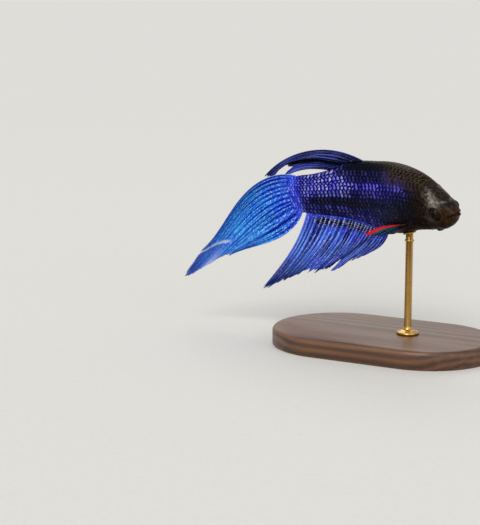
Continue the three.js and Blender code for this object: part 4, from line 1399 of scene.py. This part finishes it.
ANAL_RAYS = [
    [0.52, -66, 6.9, 39, 6, 0.4, 0],
    [0.56, -56, 13.1, 53, -32, -0.6, 0.2],
    [0.612, -54, 16, 36, -22, 0.8, -0.4],
    [0.668, -59, 17.4, 34, -12, -0.6, 0.6],
    [0.735, -63, 18, 32, -3, 1, -0.5],
    [0.82, -68, 19.9, 60, -34, -0.8, 0.6],
    [0.905, -64, 23.4, 32, -4, 1, -0.5],
    [0.975, -67, 24.3, 48, -27, -0.6, -0.4],
]
ANAL_MAKE = {
    "rays": 25,
    "columns": 384,
    "steps": 64,
    "pleat": 0.14,
    "toward": 1,
    "forks": (0.3, 0.7),
    "notch": 0.8,
    "fray": 0.45,
    "uneven": 1.2,
    "ray_width": 0.15,
    "ripple": 0.12,
    "wave": 4.0,
    "folds": 0.95,
    "fold_edge": 2.2,
    "faintest": 0.1,
    "hem": 0.9,
    "gaps": [(0.2, 0.02, 1.6), (0.4, 0.034, 3.6)],
    "seed": 8,
    "turned": True,
}


def belly_fold(web, body, read):
    # One deep fold runs slantwise over the rays, from beneath the belly fin to the margin, painted
    # as a dark line of shade.
    crossing = add(web, "Math", read["run"], -0.018, read["across"], operation="MULTIPLY_ADD")
    term = add(web, "Math", crossing, 0.179, operation="SUBTRACT")
    off = add(web, "Math", term, operation="ABSOLUTE")
    line = add(web, "MapRange", off, 0.05, 0.015)
    clear = add(web, "MapRange", read["run"], 3.5, 5.0)
    fold = add(web, "Math", line, clear, operation="MULTIPLY")
    weight = add(web, "Math", fold, 0.75, operation="MULTIPLY")
    return add(web, "Mix", weight, body, "#060a3e", data_type="RGBA")


anal_web = fin_web(
    "violet_blue_fin_web",
    {
        "inner": [
            (0.0, "#0a0c4c"), (0.12, "#141e9c"), (0.3, "#1c30d0"), (0.6, "#2c56ff"),
            (1.0, "#5080ff"),
        ],
        "outer": [
            (0.0, "#181ea0"), (0.2, "#2636dc"), (0.4, "#2a42f0"), (0.75, "#345cff"),
            (1.0, "#345cf0"),
        ],
        "bright": "#4a94ff",
        "bright_share": 0.75,
        "broad_share": 0.75,
        "gloom": [
            (0.0, 0x90), (0.08, 0), (0.16, 0), (0.195, 0xF0), (0.225, 0),
            (0.3, 0), (0.32, 0x60), (0.34, 0), (0.42, 0), (0.45, 0xC0), (0.47, 0),
            (0.53, 0), (0.56, 0xF0), (0.585, 0), (0.66, 0), (0.68, 0xA0), (0.7, 0),
            (0.79, 0), (0.815, 0xE0), (0.835, 0), (0.9, 0), (0.92, 0xB0), (0.935, 0),
        ],
        "deep": "#050a62",
        "heel": "#2c3ad0",
        "heel_reach": 6.0,
        "fold": "#030758",
        "root": "#040524",
        "ray": [(0.0, "#a8b0ff"), (0.25, "#98aeff"), (0.6, "#98aeff"), (1.0, "#6c86ea")],
        "ray_share": 0.75,
        "bead": "#98b4ff",
        "bead_share": 1.0,
        "glint": "#ccdaff",
        "tip": (12.0, 21.0, 0.85, "#0c1252"),
        "edge": (0.985, 0.995, 0.45, "#a8b4e8"),
        "hem": "#5c66b4",
        "hem_share": -0.45,
    },
    lanes=50.0,
    own_fold=belly_fold,
)
fin("anal_web", ANAL_RAYS, in_belly, ANAL_MAKE, anal_web, "violet_fin", "anal_fin")

# ---------------------------------------------------------------------------------------------
# Tail fin
# A broad azure veil that hangs back and down to one long point. Near the point a fold of its upper
# edge is painted on, with a painted highlight along it. It is cast as the back fin is, with its
# rays rooted at the end of the tail stem.


def in_tail(height):
    """Where a ray starts on the end of the tail stem."""
    return 0 * height + STANDARD_LENGTH, height, 0 * height, 1


CAUDAL_RAYS = [
    [4.3, 20, 33.1, -206, 152, 1.2, 1.2],
    [2.2, 12, 39.7, -189, 146, 0.4, -0.6],
    [0, 0, 33.3, -120, 82, 0.8, -1],
    [-2.2, -16, 24.9, -52, 36, 0.3, 0.4],
    [-4.4, -66, 22.6, 162, -125, 1.2, 1],
]
CAUDAL_MAKE = {
    "rays": 13,
    "columns": 288,
    "steps": 110,
    "pleat": 0.17,
    "toward": 1,
    "forks": (0.14, 0.42),
    "notch": 0.5,
    "fray": 0.35,
    "uneven": 0.5,
    "ray_width": 0.2,
    "ripple": 0.12,
    "wave": 4.0,
    "folds": 1.0,
    "fold_edge": 2.2,
    "faintest": 0.6,
    "hem": 1.6,
    "gaps": [],
    "seed": 5,
    "turned": False,
}
FOLD_RUN = 33.6  # along the upper edge to the fold


def tail_fold(web, body, read):
    # Toward the tip the upper edge is painted as folded over: a pale line, painted highlight on the
    # fold's edge, crosses the rays, and past it the web turns violet and thins out to a whitish,
    # nearly clear lower hem, whose whitish streaks are partly painted highlight.
    crossing = add(web, "Math", read["across"], 20.2, read["run"], operation="MULTIPLY_ADD")
    off = add(web, "Math", crossing, FOLD_RUN, operation="SUBTRACT")
    off = add(web, "Math", off, operation="ABSOLUTE")
    line = add(web, "MapRange", off, 0.75, 0.3)
    inside = add(web, "MapRange", read["across"], 0.6, 0.5)
    beyond = add(web, "MapRange", crossing, FOLD_RUN, FOLD_RUN + 1.4)
    reach = add(web, "MapRange", read["run"], 22.0, 26.0)
    term = add(web, "Math", beyond, reach, operation="MULTIPLY")
    weight = add(web, "Math", term, 0.5, operation="MULTIPLY")
    body = add(web, "Mix", weight, body, "#4454b8", data_type="RGBA")
    under = add(web, "MapRange", read["across"], 0.78, 0.96)
    rear = add(web, "MapRange", read["run"], 10.0, 16.0)
    under = add(web, "Math", under, rear, operation="MULTIPLY")
    weight = add(web, "Math", under, 0.75, operation="MULTIPLY")
    body = add(web, "Mix", weight, body, "#10308c", data_type="RGBA")
    # Whitish streaks past the fold, partly painted highlight on the folded web.
    thin = add(web, "MapRange", read["across"], 0.4, 0.56)
    rear = add(web, "MapRange", read["run"], 25.0, 29.5)
    thin = add(web, "Math", thin, rear, operation="MULTIPLY")
    strand = add(web, "Math", read["across"], 60.0, operation="MULTIPLY")
    strand = add(web, "CombineXYZ", strand)
    strand = add(web, "TexNoise", {"Vector": strand, "Scale": 1.0, "Detail": 2.0})
    term = add(web, "MapRange", strand, 0.35, 0.6, 0.2, 0.95)
    thin = add(web, "Math", thin, term, operation="MULTIPLY")
    body = add(web, "Mix", thin, body, "#b4bedc", data_type="RGBA")
    # The fold's edge: a painted highlight.
    crease = add(web, "Math", line, inside, operation="MULTIPLY")
    weight = add(web, "Math", crease, 0.8, operation="MULTIPLY")
    return add(web, "Mix", weight, body, "#d3cfe6", data_type="RGBA")


caudal_web = fin_web(
    "azure_fin_web",
    {
        "inner": [
            (0.0, "#1428bc"), (0.3, "#0830cc"), (0.55, "#0448d8"), (0.8, "#0c64f0"),
            (1.0, "#0c60e4"),
        ],
        "outer": [
            (0.0, "#2454cc"), (0.35, "#1458d8"), (0.6, "#0860e4"), (0.8, "#0448cc"),
            (1.0, "#042ca8"),
        ],
        "bright": "#44bcff",
        "bright_share": 0.75,
        "broad_share": 0.5,
        "gloom": [(0.0, 0), (1.0, 0)],
        "deep": "#021a90",
        "heel": "#3038d4",
        "heel_reach": 10.0,
        "fold": "#000a74",
        "ray": [(0.0, "#4874ff"), (0.4, "#38a4ff"), (1.0, "#58b0ff")],
        "ray_share": 0.85,
        "bead": "#84d8ff",
        "bead_share": 1.0,
        "glint": "#c0f0ff",
        "tip": (32.5, 36.5, 0.85, "#0c1440"),
        "edge": (0.014, 0.004, 0.6, "#a8bce6"),
        "hem": "#9db4d8",
        "hem_share": -0.35,
    },
    lanes=44.0,
    own_fold=tail_fold,
)
fin("caudal_web", CAUDAL_RAYS, in_tail, CAUDAL_MAKE, caudal_web, "azure_fin", "caudal_fin")

# ---------------------------------------------------------------------------------------------
# Breast and belly fins
# Two pairs, cast thin and set behind the gill covers. The breast fins are clear and lie back along
# the flanks. Each belly fin has one stiff red ray, with a narrow dark teal web behind it.

PECTORAL_RAYS = [
    [-0.9, 8, 6, -20, 0, 1, 0.3],
    [-1.3, -4, 8.4, -20, 0, 1.7, 0.6],
    [-1.8, -18, 9, -16, 0, 2.2, 0.8],
    [-2.3, -34, 8.2, -8, 0, 2.3, 0.8],
    [-2.7, -50, 5.6, 4, 0, 1.8, 0.5],
]
PELVIC_RAYS = [
    [-4.9, -14, 15.6, 31, -50, -0.7, 0],
    [-5.3, -19, 10.4, 10, -14, -0.5, 0.1],
    [-5.7, -26, 5.6, 4, 0, -0.3, 0.1],
]
PAIRED_ROOT = 0.305 * STANDARD_LENGTH
PECTORAL_SIDE, PELVIC_SIDE = 4.4, 3.35  # how far from the spine line each pair is rooted
PECTORAL_MAKE = {
    "rays": 11,
    "columns": 88,
    "steps": 30,
    "pleat": 0.04,
    "forks": (0.45, 0.8),
    "notch": 0.15,
    "fray": 0.1,
    "uneven": 0.1,
    "ray_width": 0.1,
    "ripple": 0.0,
    "wave": 3.0,
    "folds": 0.3,
    "fold_edge": 3,
    "faintest": 0.6,
    "hem": 0.8,
    "gaps": [],
    "seed": 9,
}
PELVIC_MAKE = {
    "rays": 4,
    "columns": 40,
    "steps": 60,
    "pleat": 0.05,
    "forks": (0.9, 0.98),
    "notch": 0.4,
    "fray": 0.0,
    "uneven": 0.1,
    "ray_width": 0.22,
    "ripple": 0.0,
    "wave": 3.0,
    "folds": 0.5,
    "fold_edge": 3,
    "faintest": 0.6,
    "hem": 0.3,
    "gaps": [],
    "seed": 4,
}


def clear_web():
    # Clear cast web: nearly invisible between fine grey rays, with clouds 1.1 mm wide.
    web = finish_of("clear_fin_web")
    ray = add(web, "Attribute", attribute_name="ray").outputs["Fac"]
    along = add(web, "Attribute", attribute_name="along").outputs["Fac"]
    place = add(web, "TexCoord").outputs["Object"]
    grain = add(web, "TexNoise", {"Vector": place, "Scale": 0.9 / MM, "Detail": 2.0})
    tone = add(web, "Mix", ray, "#23263a", "#454b66", data_type="RGBA")
    colour = add(web, "Mix", grain, tone, "#343a52", data_type="RGBA")
    term = add(web, "Math", along, -0.005, 0.01, operation="MULTIPLY_ADD")
    shown = add(web, "Math", ray, 0.07, term, operation="MULTIPLY_ADD")
    bump = add(web, "Bump", {"Height": ray, "Strength": 0.3, "Distance": 0.04 * MM})
    look = {"Base Color": colour, "Roughness": 0.25, "Alpha": shown, "Normal": bump}
    shader = add(web, "BsdfPrincipled", look, {"Specular IOR Level": 0.05})
    add(web, "OutputMaterial", shader)
    return web


def red_ray_web():
    # Satin paint: bright red over the one stiff ray, grey at its root, and dark teal with paler
    # fibres on the web behind it. The grain is 0.7 mm.
    web = finish_of("red_ray_and_teal_web")
    names = ("across", "along", "ray")
    read = {n: add(web, "Attribute", attribute_name=n).outputs["Fac"] for n in names}
    place = add(web, "TexCoord").outputs["Object"]
    grain = add(web, "TexNoise", {"Vector": place, "Scale": 1.4 / MM, "Detail": 3.0})
    red = add(web, "Mix", grain, "#d60c18", "#f42c2c", data_type="RGBA")
    root = add(web, "MapRange", read["along"], 0.1, 0.24, 1.0, 0.0)
    lead = add(web, "Mix", root, red, "#3a3431", data_type="RGBA")
    teal = add(web, "Mix", grain, "#000102", "#03080c", data_type="RGBA")
    term = add(web, "Math", read["across"], 26.0, operation="MULTIPLY")
    strand = add(web, "CombineXYZ", term, read["along"])
    fibre = add(web, "TexNoise", {"Vector": strand, "Scale": 1.0, "Detail": 2.0})
    fibre = add(web, "MapRange", fibre, 0.5, 0.7)
    middle = add(web, "MapRange", read["along"], 0.2, 0.45)
    weight = add(web, "Math", fibre, middle, operation="MULTIPLY")
    teal = add(web, "Mix", weight, teal, "#4c94b4", data_type="RGBA")
    last = add(web, "MapRange", read["across"], 0.86, 0.93)
    weight = add(web, "Math", last, 0.7, operation="MULTIPLY")
    teal = add(web, "Mix", weight, teal, "#7c1c1c", data_type="RGBA")
    behind = add(web, "MapRange", read["across"], 0.13, 0.2)
    colour = add(web, "Mix", behind, lead, teal, data_type="RGBA")
    bump = add(web, "Bump", {"Height": grain, "Strength": 0.2, "Distance": 0.04 * MM})
    look = {"Base Color": colour, "Roughness": 0.38, "Normal": bump, "Specular IOR Level": 0.03}
    shader = add(web, "BsdfPrincipled", look)
    add(web, "OutputMaterial", shader)
    return web


clear, red = clear_web(), red_ray_web()
for side, name in ((1, "right"), (-1, "left")):

    def on_flank(height):
        return 0 * height + PAIRED_ROOT, height, 0 * height + side * PECTORAL_SIDE, side

    def on_throat(height):
        return 0 * height + PAIRED_ROOT, height, 0 * height + side * PELVIC_SIDE, side

    mirrored = {"turned": side < 0, "toward": side}
    make, web, node = {**PECTORAL_MAKE, **mirrored}, f"pectoral_web_{name}", f"pectoral_fin_{name}"
    fin(web, PECTORAL_RAYS, on_flank, make, clear, "clear_fin", node)
    make, web, node = {**PELVIC_MAKE, **mirrored}, f"pelvic_web_{name}", f"pelvic_fin_{name}"
    fin(web, PELVIC_RAYS, on_throat, make, red, "red_fin", node)

# ---------------------------------------------------------------------------------------------
# Setting
# A plain sheet of pale paper that fades to an even pale ground, soft lamps and the camera. The
# camera stands before the fish's right side, a little ahead of it and a little above.

FLOOR_RADIUS = 6.0  # metres, past the edge of any view
FLOOR_CORNERS = 64
GROUND = "#dfddd9"
AIR_LEVEL = 0.4  # light from all around


def seen_plainly(owner):
    """1 for the camera and for what shows in metal or through glass, 0 for light on the object."""
    ray = add(owner, "LightPath").outputs
    seen = add(owner, "Math", ray["Is Camera Ray"], ray["Is Glossy Ray"], operation="MAXIMUM")
    return add(owner, "Math", seen, ray["Is Transmission Ray"], operation="MAXIMUM")


def studio_floor():
    # Matt paper: it takes the shadow near the stand and fades to one even tone far from it. Its
    # tooth is drawn 1.2 mm wide, coarser than real paper's, so that it just shows.
    paper = finish_of("matt_paper_floor")
    place = add(paper, "TexCoord").outputs["Object"]
    far = add(paper, "VectorMath", place, operation="LENGTH").outputs["Value"]
    tooth = add(paper, "TexNoise", {"Vector": place, "Scale": 0.8 / MM, "Detail": 3.0})
    tone = add(paper, "Mix", tooth, "#d5d3ce", "#dcdad5", data_type="RGBA")
    sheet = add(paper, "BsdfDiffuse", {"Color": tone})
    glow = add(paper, "Emission", {"Color": GROUND, "Strength": 1.0})
    share = add(paper, "MapRange", far, 0.15, 0.7, interpolation_type="SMOOTHSTEP")
    share = add(paper, "Math", share, seen_plainly(paper), operation="MULTIPLY")
    both = add(paper, "MixShader", share, sheet, glow)
    add(paper, "OutputMaterial", {"Surface": both})
    return paper


mesh = bpy.data.meshes.new("floor")
ring = [2 * math.pi * k / FLOOR_CORNERS for k in range(FLOOR_CORNERS)]
corners = [(FLOOR_RADIUS * math.cos(t), FLOOR_RADIUS * math.sin(t), 0) for t in ring]
mesh.from_pydata(corners, [], [tuple(range(FLOOR_CORNERS))])
mesh.materials.append(studio_floor())
floor = bpy.data.objects.new("floor", mesh)
bpy.context.scene.collection.objects.link(floor)

scene = bpy.context.scene
scene.view_settings.view_transform = "Standard"
world = bpy.data.worlds.new("studio_air")
world.use_nodes = True
world.node_tree.nodes.clear()
air = add(world, "Background", "#ffffff", AIR_LEVEL)
ground = add(world, "Background", GROUND)
add(world, "OutputWorld", add(world, "MixShader", seen_plainly(world), air, ground))
scene.world = world

FISH_MIDDLE = posed(STANDARD_LENGTH / 2, 0, 0)


def looking(turn, tilt):
    """Unit vectors back, right and up of a view from that azimuth and elevation in degrees."""
    a, e = math.radians(turn), math.radians(tilt)
    back = np.array([math.sin(a) * math.cos(e), -math.cos(a) * math.cos(e), math.sin(e)])
    right = np.array([math.cos(a), math.sin(a), 0])
    return back, right, np.cross(back, right)


def aim(thing, place, back, right, up):
    """Stands a lamp or camera at a place, looking along a view."""
    turn = Matrix(np.column_stack([right, up, back]).tolist())
    thing.matrix_world = Matrix.Translation(place.tolist()) @ turn.to_4x4()


# Lamps: azimuth and elevation, level, and width in degrees. All are endlessly far, so that they
# light the floor evenly, and wide, so that their shadows are soft.
LAMPS = {
    "key": (5, 48, 1.75, 36),
    "fill": (70, 20, 0.45, 40),
    "front": (20, 12, 0.75, 40),
    "back": (215, 45, 0.75, 38),
}
for name, (turn, tilt, level, width) in LAMPS.items():
    lamp = bpy.data.lights.new(name, "SUN")
    lamp.energy = level
    lamp.angle = math.radians(width)
    holder = bpy.data.objects.new(name, lamp)
    scene.collection.objects.link(holder)
    back, right, up = looking(turn, tilt)
    aim(holder, FISH_MIDDLE + back, back, right, up)

# The camera's azimuth, elevation and distance in metres, its lens and sensor in millimetres, and
# how far the fish's middle stands right of and above the middle of the frame.
CAMERA_TURN, CAMERA_TILT, CAMERA_DISTANCE = 30.0, 10.0, 0.3115
LENS, SENSOR = 100.0, 36.0
MIDDLE_RIGHT, MIDDLE_UP = 0.2741, 0.132  # shares of the frame's height
camera = bpy.data.cameras.new("camera")
camera.lens = LENS
camera.sensor_width = SENSOR
camera.clip_start, camera.clip_end = 0.01, 20
eye_point = bpy.data.objects.new("camera", camera)
scene.collection.objects.link(eye_point)
back, right, up = looking(CAMERA_TURN, CAMERA_TILT)
frame_height = CAMERA_DISTANCE * SENSOR / LENS
spot = FISH_MIDDLE + back * CAMERA_DISTANCE
spot = spot - right * MIDDLE_RIGHT * frame_height - up * MIDDLE_UP * frame_height
aim(eye_point, spot, back, right, up)
scene.camera = eye_point
